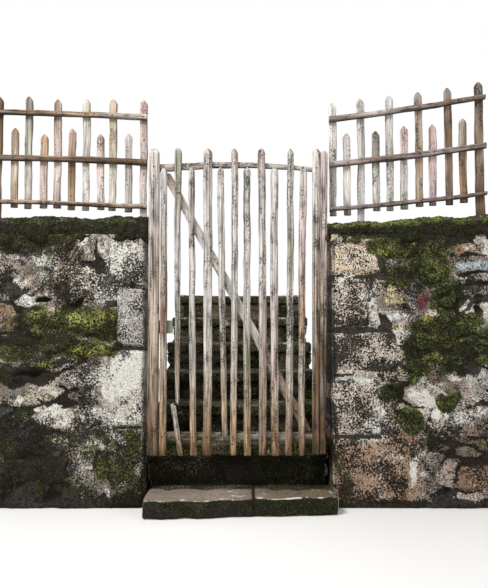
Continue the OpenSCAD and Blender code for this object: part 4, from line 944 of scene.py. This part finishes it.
def addSlabs(name, look):
    skins = []
    solids = solidsOf(name, 0, 0.003)
    whole = np.concatenate(solids).reshape(-1, 3)
    ends = whole[whole[:, 0].argmin()], whole[whole[:, 0].argmax()]
    frontAt = [whole[np.abs(whole[:, 0] - end[0]) < 0.002][:, 1].min() for end in ends]
    back = whole[:, 1].max()
    jambSide = abs(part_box("left_jamb_stones")[1][0]) - look["jambGap"]
    for i, corners in enumerate(solids):
        low, high = corners.min((0, 1)), corners.max((0, 1))
        low[0] -= look["closed"] * i
        high[0] += look["closed"] * (1 - i)
        steps = (look["step"], look["step"], look["step"] * 0.8)
        points, faces, outward = wornBlock(low, high, steps, look["radius"], look["dent"], 50 + i)
        line = np.interp(points[:, 0], (ends[0][0], ends[1][0]), frontAt)
        points[:, 1] = back - (back - points[:, 1]) * (back - line) / (back - low[1])
        ragged = np.clip(0.5 + noiseFields(points * (1, 0, 0.6), raggedNoise)["ragged"], 0, 1.4)
        points[:, 1] += look["ragged"] * ease(0.1, 0.0, points[:, 1] - line) * ragged
        betweenJambs = points[:, 1] > look["behindJambs"]
        points[:, 0] = np.where(betweenJambs, np.minimum(points[:, 0], jambSide), points[:, 0])

        noise = noiseFields(points, slabNoise)
        colour = stoneColour(points, look["tones"][0], 60 + i)
        greened = ease(-0.12, 0.3, points[:, 0] + noise["green"])
        colour = blend(colour, linear(stoneTones[look["tones"][1]]), greened)
        moss, lichen, dampAndShade, yellow = stoneCover(points, {"lichen": look["lichen"]}, look["yellow"], 60 + i).T
        # rim: painted highlight on the lit front edge of the top, put in as pale lichen
        rim = ease(look["rim"], 0.004, points[:, 1] - line) * ease(0.2, 0.8, outward[:, 2])
        rim = rim * ease(-0.5, 0.1, noise["rim"] + 0.3)
        behind = ease(-0.02, 0.06, points[:, 1] + noise["behind"])
        endFace = ease(0.5, 0.9, outward[:, 0]) * i
        # The upright front faces are painted dark: painted shade, with some real moss on them
        face = ease(-0.2, -0.6, outward[:, 1]) * (1 - rim) * (1 - endFace)
        crack = ease(look["crack"], 0.004, np.abs(points[:, 0] - (high[0] if i == 0 else low[0])))
        lichen = np.maximum(lichen, np.maximum(0.66 * rim, 0.6 * endFace)) * (1 - crack)
        grime = np.where(rim > 0.4, 0, (0.27 + noise["grime"]) * (0.5 + 0.25 * greened))
        dampAndShade = np.max([grime, 0.95 * face, 0.5 * behind, 0.8 * crack], axis=0)
        faceMoss = 0.66 * face * ease(-0.7, 0.3, noise["faceMoss"])
        moss = np.max([moss, faceMoss, 0.7 * behind * ease(-0.3, 0.3, noise["backMoss"])], axis=0)
        skins.append((points, faces, colour, np.clip(np.stack([moss, lichen, dampAndShade, yellow], 1), 0, 1)))
    points, faces, colour, cover = joined(skins)
    addPiece(name + "_worn", points, faces, wornGranite, "surround", [name],
             {"tone": toneLayer(colour), "cover": cover})


addSlabs("threshold_slabs", slabLook)

# Steps: worn treads with pale lichened nosings, on rubble risers under algae and moss
stepLook = {"step": 0.014, "radius": 0.014, "dent": 0.006, "wear": 0.010, "wearHalf": 0.24, "wearDeep": 0.16,
            "cover": {"moss": 0.5, "lichen": 0.2, "dampAndShade": 0.3}, "yellow": 0.15, "nosing": 0.05,
            "lip": (0.022, 0.008)}
lipNoise = {"lip": (1, 0.06, 1, 86)}


# A tread: a worn block whose top is trodden down at the front, by a bell across the width of the step
def addTread(i, look):
    name = f"tread_{i}"
    low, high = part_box(name)
    steps = (look["step"], look["step"], look["step"] * 0.8)
    points, faces, _ = wornBlock(low, high, steps, look["radius"], look["dent"], 70 + i)
    worn = np.exp(-(points[:, 0] / look["wearHalf"]) ** 2) * ease(low[2], high[2], points[:, 2])
    points[:, 2] -= look["wear"] * worn * ease(look["wearDeep"], 0.0, points[:, 1] - low[1])
    colour = stoneColour(points, "step", 80 + i)
    moss, lichen, dampAndShade, yellow = stoneCover(points, look["cover"], look["yellow"], 80 + i).T
    front = ease(look["nosing"], 0.0, points[:, 1] - low[1])
    lip = front * ease(high[2] - look["lip"][0], high[2] - look["lip"][1], points[:, 2])
    lip = lip * ease(-0.3, 0.4, noiseFields(points, lipNoise, i)["lip"])
    lichen = np.maximum(lichen, 0.54 * lip)
    moss = np.where(lip > 0.4, moss * 0.5, moss)
    dampAndShade = np.maximum(dampAndShade, 0.36 * front * (1 - lip))
    addPiece(name + "_worn", points, faces, wornGranite, "surround", [name],
             {"tone": toneLayer(colour), "cover": np.stack([moss, lichen, dampAndShade, yellow], 1)})


# Masonry under the steps: cells, how far joints and faces lie back, and cover as (risers, sides and back)
stairLook = {"cell": 0.016, "jointBack": 0.02, "faceBack": 0.005, "moss": (0.8, 0.42), "dampAndShade": (0.36, 0.3),
             "lowestDamp": 0.24, "jointDamp": 0.75, "lichen": 0.2, "yellow": 0.1}
stairNoise = {"face": (1, 0.05, 4, 92), "moss": (1, 0.1, 3, 93), "dampAndShade": (0.2, 0.09, 1, 94)}


# Cells under each tread, with rubble on the sides and the back; s is the way round the masonry
def addStairBase(name, look, treadNames):
    low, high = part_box(name)
    treads = [(lo[1], hi[1], lo[2]) for lo, hi in [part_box(treadName) for treadName in treadNames]]
    nosing = low[1] - treads[0][0]
    lineY, lineZ = [low[1]], [low[2]]
    for start, end, under in treads:
        lineY += list(evenly(lineY[-1], min(end, high[1]), look["cell"])[1:])
        lineZ += list(evenly(lineZ[-1], under, look["cell"])[1:])
    lines = [evenly(low[0], high[0], look["cell"]), np.array(lineY), np.array(lineZ)]
    middles = [(line[1:] + line[:-1]) / 2 for line in lines]
    ceiling = np.zeros(len(middles[1]))
    for start, end, under in treads:
        ceiling = np.where(middles[1] > start + nosing, under, ceiling)
    filled = np.repeat((middles[2] < ceiling[:, None])[None], len(middles[0]), axis=0)
    points, quads = cellSkin(*lines, filled)
    outward = outwardOf(points, quads)
    sideways = np.abs(outward[:, 0]) > 0.5
    plain = sideways | (outward[:, 1] > 0.5)
    s = np.where(sideways, points[:, 1] + 3 * np.sign(points[:, 0]), points[:, 0])
    flat = np.stack([s, points[:, 2], 0 * s], 1)
    noise = noiseFields(flat, stairNoise)
    stones = fillStones(-4, 5, high[2], 90, rubble)
    nearest, edge = layStones(s, points[:, 2], stones, 91)
    mask = ease(0.0, rubble["joint"], edge)
    height = np.minimum(-look["jointBack"] * (1 - mask) - look["faceBack"] * (1 + noise["face"]), 0)
    points = points + outward * (height * ease(0.5, 0.3, np.abs(outward[:, 2])))[:, None]

    tones = np.array([stone[4] for stone in stones])
    colour = toneValues[tones][nearest] * (0.65 + 0.35 * mask)[:, None]
    colour = np.where(plain[:, None], colour, toneValues[toneList.index("step")] * 1.1)
    moss = ease(-0.5, 0.4, noise["moss"]) * np.where(plain, look["moss"][1], look["moss"][0])
    lowest = ease(treads[0][2] + 0.02, treads[0][2] - 0.02, points[:, 2])
    dampAndShade = np.where(plain, look["dampAndShade"][1], look["dampAndShade"][0] + look["lowestDamp"] * lowest) + noise["dampAndShade"]
    dampAndShade = np.maximum(dampAndShade, np.where(plain, look["jointDamp"] * ease(0.4, 0.9, 1 - mask), 0))
    cover = np.clip(np.stack([moss, look["lichen"] + 0 * s, dampAndShade, look["yellow"] + 0 * s], 1), 0, 1)
    addPiece(name + "_rubble", points, [quads], wornGranite, "surround", [name],
             {"tone": toneLayer(colour), "cover": cover})


for number in range(1, 7):
    addTread(number, stepLook)
addStairBase("stair_base", stairLook, [f"tread_{number}" for number in range(1, 7)])
print("slabs and steps ready")

woodTones = {"silver": "#cdc7c0", "ash": "#b0aaa2", "mauve": "#b8aaa8", "cream": "#d6ccc4",
             "pink": "#c6b2aa", "tan": "#b09980", "brown": "#80654a", "orange": "#b38b60",
             "green": "#a5a28c", "dark": "#645b52", "earthy": "#8a7568", "umber": "#57432f",
             "rust": "#94604c", "ochre": "#86603d", "bone": "#e6ddd5", "rosy": "#b8938e",
             "wheat": "#bfaa90"}

# Every stick: points around and rings along, crook, splits and knots in metres, and how far painted shade
# darkens the edges and the under side. Stiles are straight with smooth sides, and pales end in a rounded
# tip. The noise fields have their cells drawn out along the stick
stickSize = {"around": 44, "along": 128, "crook": 0.0022, "splitHalf": 0.0014, "splitDeep": 0.0045,
             "splits": [], "knots": 6, "knotHigh": 0.0025, "splinter": 0.016, "rimDark": 0.42,
             "underShade": 0.3, "sides": 1, "tip": 0.030, "tipWidth": 1, "specks": 0.25}
stileSize = {**stickSize, "crook": 0, "splitHalf": 0.0018, "sides": 0.15}
gatePaleSize = {**stickSize, "tipWidth": 0.4}
stickNoise = {"furrow": (0.0016, (0.0045, 0.0045, 0.16), 1, 0), "facet": (0.0018, (0.02, 0.02, 0.14), 1, 1),
              "wave": (0.0015, (0.02, 0.02, 0.045), 1, 2), "rim": (1, (9, 9, 0.05), 1, 5),
              "change": (0.05, (0.012, 0.012, 0.1), 1, 6), "shade": (0.12, (0.02, 0.02, 0.12), 1, 7),
              "lichen": (0.16, (0.02, 0.02, 0.06), 1, 8), "bleach": (0.7, (0.012, 0.012, 0.2), 1, 9),
              "foot": (0.03, (0.01, 0.01, 0.06), 1, 10), "mottle": (1, (0.008, 0.008, 0.05), 2, 11)}
bendNoise = {"wander": (0.35, 0.25, 1, 0), "crook": (1, 0.16, 2, 3)}

# Sticks of the leaf: tones from foot to top, black lichen (share of the length, half length, strength), the
# number of splits, the brace's own splits (place, start, end, half width), and which end is torn
gateSticks = {
    "left_stile": {"tones": ["brown", "brown", "tan", "tan", "pink", "silver", "bone"],
                   "lichen": [(0.05, 0.08, 0.1)], "cracks": 12},
    "inner_right_stile": {"tones": ["ochre", "brown", "brown", "tan", "pink", "cream", "bone"],
                          "lichen": [(0.5, 0.3, 0.07)], "cracks": 13},
    "outer_right_stile": {"tones": ["ochre", "umber", "brown", "tan", "pink", "pink", "bone"],
                          "lichen": [(0.3, 0.3, 0.08)], "cracks": 13},
    "pale_1": {"tones": ["ochre", "tan", "tan", "rust", "tan", "ash", "silver"],
               "lichen": [(0.6, 0.1, 0.1)], "cracks": 6, "crook": 0},
    "broken_pale": {"tones": ["ash", "tan", "ash", "silver", "silver", "green", "green"],
                    "lichen": [(0.4, 0.2, 0.08)], "cracks": 5},
    "pale_3": {"tones": ["orange", "wheat", "silver", "silver", "silver", "silver", "ash"],
               "lichen": [(0.75, 0.06, 0.1)], "cracks": 5},
    "pale_4": {"tones": ["ochre", "wheat", "cream", "cream", "silver", "silver", "pink"],
               "lichen": [(0.2, 0.1, 0.06)], "cracks": 6},
    "pale_5": {"tones": ["tan", "wheat", "ash", "silver", "silver", "silver", "silver"],
               "lichen": [(0.4, 0.14, 0.12), (0.9, 0.1, 0.06)], "cracks": 5},
    "pale_6": {"tones": ["orange", "wheat", "cream", "silver", "cream", "cream", "pink"],
               "lichen": [(0.6, 0.1, 0.05), (0.88, 0.12, 0.05)], "cracks": 6},
    "pale_7": {"tones": ["orange", "wheat", "green", "silver", "cream", "silver", "silver"],
               "lichen": [(0.9, 0.1, 0.06)], "cracks": 5},
    "pale_8": {"tones": ["ochre", "wheat", "pink", "cream", "cream", "silver", "pink"],
               "lichen": [(0.85, 0.15, 0.04)], "cracks": 6},
    "pale_9": {"tones": ["orange", "wheat", "pink", "pink", "silver", "silver", "silver"],
               "lichen": [(0.1, 0.1, 0.1)], "cracks": 5},
    "pale_10": {"tones": ["ochre", "wheat", "silver", "silver", "green", "silver", "silver"],
                "lichen": [(0.42, 0.1, 0.14), (0.9, 0.12, 0.12)], "cracks": 6},
    "pale_11": {"tones": ["ochre", "wheat", "ash", "orange", "pink", "pink", "silver"],
                "lichen": [(0.4, 0.1, 0.12)], "cracks": 6},
    "broken_pale_foot": {"tones": ["ochre", "tan", "cream", "cream"], "lichen": [], "cracks": 3}}
gateRails = {
    "gate_top_rail": {"axis": 0, "tones": ["ash", "pink", "silver", "ash"], "lichen": [(0.5, 0.3, 0.08)],
                      "cracks": 4},
    "gate_bottom_rail": {"axis": 0, "tones": ["green", "brown", "green", "ash", "brown"],
                         "lichen": [(0.5, 0.4, 0.12)], "cracks": 4},
    "gate_brace": {"axis": 2, "tones": ["brown", "tan", "cream", "bone", "cream", "tan"],
                   "lichen": [(0.2, 0.2, 0.05)], "cracks": 6,
                   "splits": [(-0.1, 0.25, 0.95, 0.003), (0.45, 0.1, 0.6, 0.002)]}}
tornEnds = {"broken_pale": 0, "broken_pale_foot": 1}


# Strength of the splits: narrow bells across the stick that drift along it, at random and those of the look
def splitMarks(unitA, halfA, share, levels, look, seed, random):
    split = np.zeros(unitA.shape)
    for k in range(look["cracks"]):
        begin = random.uniform(-0.1, 0.8)
        end = begin + random.uniform(0.12, 0.5)
        drift = 0.14 * softNoise(levels, 0.2, seed + 20 + k)
        away = np.abs(unitA - random.uniform(-0.7, 0.7) - drift[:, None]) * halfA
        opened = ease(begin, begin + 0.06, share) * ease(end, end - 0.06, share)
        split = np.maximum(split, np.exp(-(away / look["splitHalf"]) ** 2) * opened[:, None])
    for place, begin, end, half in look["splits"]:
        away = np.abs(unitA - place) * halfA
        opened = ease(begin, begin + 0.1, share) * ease(end, end - 0.1, share)
        split = np.maximum(split, np.exp(-(away / half) ** 2) * opened[:, None] * 1.5)
    return split


# Strength of the knots: low bells at random places along and across the stick
def knotMarks(unitA, halfA, level, look, random):
    knot = np.zeros(unitA.shape)
    for _ in range(look["knots"]):
        at = level[0] + (level[-1] - level[0]) * random.uniform(0.06, 0.94)
        spot = np.hypot((unitA - random.uniform(-0.6, 0.6)) * halfA / 0.009, (level[:, None] - at) / 0.014)
        knot = np.maximum(knot, np.exp(-spot ** 2))
    return knot


# A cleft stick along one axis. Each ring is an oval of mixed powers, boxy on the flat side and rounder on
# the ridge, fitted to the edges cut from the solid; furrows and facets are noise drawn out along the stick,
# splits are narrow valleys on the ridge side, and knots are low domes
def cleftStick(corners, axis, ridgeSide, look, seed, torn=None):
    random = np.random.default_rng(seed)
    across = 0 if axis == 2 else 2
    low, high = corners[:, :, axis].min(), corners[:, :, axis].max()
    even = np.linspace(0, 1, look["along"])
    share = 0.6 * even + 0.4 * (1 - np.cos(math.pi * even)) / 2
    level = low + (high - low) * share
    aLow, aHigh, dLow, dHigh = cutSolid(corners, axis, across, np.clip(level, low + 4e-4, high - 4e-4))
    levels = level[:, None] * (1, 0, 0)
    bend = noiseFields(levels, bendNoise, seed)
    turn = np.linspace(0, 2 * math.pi, look["around"], endpoint=False)
    c, s = np.cos(turn), np.sin(turn)
    power = np.where(s > 0, 2.2, 5.0)
    unitA = np.sign(c) * np.abs(c) ** (2 / power)
    unitD = np.sign(s) * np.abs(s) ** (2 / power)
    wander = (bend["wander"] + random.uniform(-0.2, 0.2))[:, None]
    unitA = unitA + wander * np.maximum(unitD, 0) * (1 - np.abs(unitA)) * 0.8
    rounded = np.sin(np.clip((high - level) / look["tip"], 0, 1) * math.pi / 2) ** 0.8
    width = look["tipWidth"] + (1 - look["tipWidth"]) * rounded
    halfA = (width * (aHigh - aLow))[:, None] / 2
    halfD = (width * (dHigh - dLow))[:, None] / 2
    inA, inD = unitA * halfA, unitD * halfD
    along = level[:, None] + 0 * inA
    local = np.stack([inA, inD, along], -1).reshape(-1, 3) + seed * 0.37
    noise = {key: field.reshape(inA.shape) for key, field in noiseFields(local, stickNoise, seed).items()}

    split = splitMarks(unitA, halfA, share, levels, look, seed, random) * (s > 0.05)
    knot = knotMarks(unitA, halfA, level, look, random) * (s > 0)
    groove = 0.00015 - np.abs(noise["furrow"]) + noise["facet"] + noise["wave"]
    groove = groove * (1 - (1 - look["sides"]) * ease(0.5, 0.95, np.abs(unitA)))
    groove += knot * look["knotHigh"] - split * look["splitDeep"]
    groove = np.minimum(groove, 0.0012) * np.minimum(1, halfA / 0.010)
    normalA, normalD = unitA * halfD, unitD * halfA
    norm = np.maximum(np.hypot(normalA, normalD), 1e-6)
    crook = look["crook"] * bend["crook"] * ease(0, 0.05, share) * ease(1, 0.95, share)
    a = ((aLow + aHigh) / 2 + crook)[:, None] + inA + normalA / norm * groove
    d = (dLow + dHigh)[:, None] / 2 + ridgeSide * (inD + normalD / norm * groove)
    if torn is not None:
        near = ease(0.075, 0.0, np.abs(share - torn) * (high - low))[:, None]
        jag = softNoise(local * (1, 1, 0), 0.006, seed + 4).reshape(inA.shape)
        along = np.clip(along + near * look["splinter"] * (jag if torn == 0 else -np.abs(jag)), low, high)
    points = np.empty(inA.shape + (3,))
    points[..., axis], points[..., across], points[..., 1] = along, a, d
    points = np.concatenate([points.reshape(-1, 3), [points[0].mean(0), points[-1].mean(0)]])
    grain = np.concatenate([np.stack([inA, inD, along], -1).reshape(-1, 3), [[0, 0, low], [0, 0, high]]])
    grain = grain + (seed * 0.37, seed * 0.11, seed * 0.73)

    upright, flat = axis == 2, 0 * share
    tones = np.array([linear(woodTones[key]) for key in look["tones"]])
    stops = np.linspace(0, 1, len(tones))
    tint = np.stack([np.interp(share[:, None] + noise["change"], stops, tones[:, k]) for k in range(3)], -1)
    mottle = 0.42 * ease(0.42, 0.1, share) if upright else flat
    shade = 1 + noise["shade"] + mottle[:, None] * noise["mottle"]
    if upright and torn != 0:
        shade = shade * (0.5 + 0.5 * ease(-0.01, 0.05, share[:, None] + noise["foot"]))
    lichen = look["specks"] + flat
    for at, reach, strength in look["lichen"]:
        lichen += strength * ease(reach * 1.3, reach * 0.4, np.abs(share - at))
    # rim and under are painted shade: the edges of a stick turned from the light, and the under side of a
    # rail
    rim = look["rimDark"] * ease(0.55, 1.0, np.abs(unitA)) * ease(-0.3, 0.5, noise["rim"])
    under = 0 if upright else look["underShade"] * ease(-0.15, -0.75, unitA)
    dark = np.clip(split * 0.85 + knot * 0.5 + rim + under, 0, 0.9)
    aired = 0.1 + 0.9 * ease(0.03, 0.32, share) if upright else 0.5 + flat
    bleach = np.clip(0.3 + noise["bleach"], 0, 1) * aired[:, None]
    marks = np.stack([dark, np.clip(lichen[:, None] + noise["lichen"], 0, 1), bleach, 1 + 0 * dark], -1)
    tint, marks = (tint * shade[..., None]).reshape(-1, 3), marks.reshape(-1, 4)
    tint, marks = [np.concatenate([layer, layer[[0, -1]]]) for layer in (tint, marks)]
    return points, facedOut(points, ringFaces(*inA.shape)), toneLayer(tint), marks, grain


def addSticks(name, sticks, material, body):
    points, faces, tint, marks, grain = joined(sticks)
    addPiece(name + "_cleft", points, faces, material, body, [name], {"tint": tint, "marks": marks},
             {"grain": grain})


for number, (stickName, look) in enumerate(gateSticks.items()):
    size = stileSize if "stile" in stickName else stickSize if stickName in tornEnds else gatePaleSize
    stick = cleftStick(solidOf(stickName), 2, -1, {**size, **look}, 200 + number, tornEnds.get(stickName))
    addSticks(stickName, [stick], gateChestnut, "leaf")
for number, (railName, look) in enumerate(gateRails.items()):
    stick = cleftStick(solidOf(railName), look["axis"], 1, {**stickSize, **look}, 240 + number)
    addSticks(railName, [stick], gateChestnut, "leaf")
print("leaf ready")

# Fence panels: nodes of several sticks, lying along axis and set side by side along row; tones are taken in
# turn, and specks is the amount of black lichen. Tones run from foot to top: the darker upper tones of the
# left pales are painted shade on the upper part of that panel, over the wood's own browns, and the darker
# browns of the last right pales and the post are partly their own colour and partly painted shade
fencePieces = {
    "left_fence_rails": {"axis": 0, "row": 2, "ridge": -1, "specks": 0.24, "tones": [
        ["brown", "tan", "brown", "tan"], ["umber", "brown", "umber", "brown"],
        ["umber", "brown", "tan", "cream"]]},
    "right_fence_rails": {"axis": 0, "row": 2, "ridge": -1, "specks": 0.26, "tones": [
        ["mauve", "earthy", "earthy", "earthy"], ["mauve", "earthy", "mauve", "earthy"],
        ["earthy", "mauve", "earthy", "earthy"]]},
    "left_fence_tall_pales": {"axis": 2, "row": 0, "ridge": 1, "specks": 0.24, "tones": [
        ["brown", "brown", "umber"], ["ash", "green", "dark"], ["pink", "pink", "ochre"],
        ["cream", "cream", "green"], ["cream", "green", "orange"], ["cream", "pink", "rosy"]]},
    "left_fence_short_pales": {"axis": 2, "row": 0, "ridge": 1, "specks": 0.24, "tones": [
        ["tan", "tan", "brown"], ["pink", "pink", "orange"], ["tan", "brown", "rust"],
        ["cream", "pink", "brown"], ["silver", "ash", "ash"]]},
    "right_fence_tall_pales": {"axis": 2, "row": 0, "ridge": 1, "specks": 0.27, "tones": [
        ["silver", "cream", "bone"], ["silver", "ash", "silver"], ["silver", "ash", "silver"],
        ["tan", "tan", "earthy"], ["earthy", "brown", "earthy"]]},
    "right_fence_short_pales": {"axis": 2, "row": 0, "ridge": 1, "specks": 0.27, "tones": [
        ["cream", "bone", "mauve"], ["silver", "ash", "dark"], ["silver", "cream", "rosy"],
        ["mauve", "rosy", "rosy"], ["orange", "brown", "brown"]]},
    "right_fence_post": {"axis": 2, "row": 0, "ridge": 1, "specks": 0.3, "tones": [
        ["umber", "brown", "dark"]]}}
fenceSizes = {0: {**stickSize, "around": 34, "along": 120, "underShade": 0.62, "lichen": [], "cracks": 3},
              2: {**gatePaleSize, "around": 30, "along": 56, "knots": 1, "lichen": [], "cracks": 3}}
for number, (fenceName, look) in enumerate(fencePieces.items()):
    sticks = []
    for k, corners in enumerate(solidsOf(fenceName, look["row"])):
        stickLook = {**fenceSizes[look["axis"]], **look, "tones": look["tones"][k % len(look["tones"])]}
        sticks.append(cleftStick(corners, look["axis"], look["ridge"], stickLook, 300 + 20 * number + k))
    addSticks(fenceName, sticks, fenceChestnut, "surround")
print("fences ready")

# Wrought nails where pales and rails cross, and the height of the heads over the wood
nailLook = {"radius": 0.0042, "domed": 0.0016, "shank": 0.006, "sunk": 0.0012, "around": 8}


# The crossing of an upright and a rail: x and z of the middle, and how far forward the nearer one reaches
def crossing(upright, rail):
    middle = upright.reshape(-1, 3)[:, 0].mean()
    for _ in range(2):
        zLow, zHigh, railFront, _ = [edge[0] for edge in cutSolid(rail, 0, 2, np.array([middle]))]
        height = (zLow + zHigh) / 2
        xLow, xHigh, front, _ = [edge[0] for edge in cutSolid(upright, 2, 0, np.array([height]))]
        middle = (xLow + xHigh) / 2
    return middle, min(front, railFront), height


# A nail is a short turned body: a ring of the shank inside the wood, the edge of the head, and a smaller
# ring under its top
def addNails(name, places, body, look):
    turn = np.linspace(0, 2 * math.pi, look["around"], endpoint=False)
    radius = look["radius"]
    rings = [(radius, look["shank"]), (radius, 0), (radius * 0.7, -look["domed"] * 0.75)]
    skins = []
    for x, front, z in places:
        y = front + look["sunk"]
        points = [np.stack([x + r * np.cos(turn), y + depth + 0 * turn, z + r * np.sin(turn)], 1)
                  for r, depth in rings]
        points = np.concatenate(points + [[[x, y + look["shank"], z], [x, y - look["domed"], z]]])
        skins.append((points, facedOut(points, ringFaces(len(rings), look["around"]))))
    points, faces = joined(skins)
    addPiece(name, points, faces, ironRust, body)


topRail, bottomRail = solidOf("gate_top_rail"), solidOf("gate_bottom_rail")
leafNails = [crossing(solidOf(stickName), topRail)
             for stickName in gateSticks if stickName != "broken_pale_foot"]
leafNails += [crossing(solidOf(stickName), bottomRail)
              for stickName in gateSticks if stickName != "broken_pale"]
addNails("leaf_nails", leafNails, "leaf", nailLook)
for side in ("left", "right"):
    uprights = solidsOf(side + "_fence_tall_pales", 0) + solidsOf(side + "_fence_short_pales", 0)
    rails = solidsOf(side + "_fence_rails", 2)
    panelNails = [crossing(upright, rail) for upright in uprights for rail in rails
                  if upright[:, :, 2].max() > rail[:, :, 2].max()]
    addNails(side + "_fence_nails", panelNails, "surround", nailLook)
print("nails ready")

ironwork = {"hinge_hooks": ironRust, "hinge_eyes": ironRust, "lock_case": lockPaint}
for ironName, ironMaterial in ironwork.items():
    nodes[ironName].data.materials.clear()
    nodes[ironName].data.materials.append(ironMaterial)

# Plain pale floor and soft studio light; the world shows white to the camera and lights at a plain level
studio = {"floor": "#e9e8e5", "floorHalf": 12, "floorRoughness": 0.9, "worldLight": 0.38,
          "lamps": [("key", (-2.2, -2.6, 4.8), 1.8, 310), ("fill", (3.4, -2.6, 2.2), 2.5, 45),
                    ("rear", (0.5, 5.0, 4.0), 3.5, 120)],
          "target": (0, 0.2, 1.0)}


def addStudio(look):
    half = look["floorHalf"]
    mesh = bpy.data.meshes.new("floor")
    corners = [(-half, -half, 0), (half, -half, 0), (half, half, 0), (-half, half, 0)]
    mesh.from_pydata(corners, [], [(0, 1, 2, 3)])
    material, tree, surface = startMaterial("studio_floor")
    surface.inputs["Base Color"].default_value = rgba(look["floor"])
    surface.inputs["Roughness"].default_value = look["floorRoughness"]
    mesh.materials.append(material)
    floor = bpy.data.objects.new("floor", mesh)
    scene.collection.objects.link(floor)
    for name, place, size, power in look["lamps"]:
        data = bpy.data.lights.new(name, "AREA")
        data.size = size
        data.energy = power
        lamp = bpy.data.objects.new(name, data)
        lamp.location = place
        aim = np.array(look["target"]) - np.array(place)
        rise = math.atan2(aim[2], math.hypot(aim[0], aim[1]))
        lamp.rotation_euler = (math.pi / 2 + rise, 0, math.atan2(aim[1], aim[0]) - math.pi / 2)
        scene.collection.objects.link(lamp)
    world = bpy.data.worlds.new("studio")
    scene.world = world
    world.use_nodes = True
    tree = world.node_tree
    path = addNode(tree, "LightPath", {}, {})
    seen = addNode(tree, "Math", {"operation": "MAXIMUM"},
                   {0: path.outputs["Is Camera Ray"], 1: path.outputs["Is Glossy Ray"]})
    strength = addNode(tree, "MapRange", {},
                       {"Value": seen.outputs[0], "To Min": look["worldLight"], "To Max": 1})
    tree.nodes["Background"].inputs["Color"].default_value = (1, 1, 1, 1)
    tree.links.new(strength.outputs[0], tree.nodes["Background"].inputs["Strength"])


addStudio(studio)
print("studio ready")
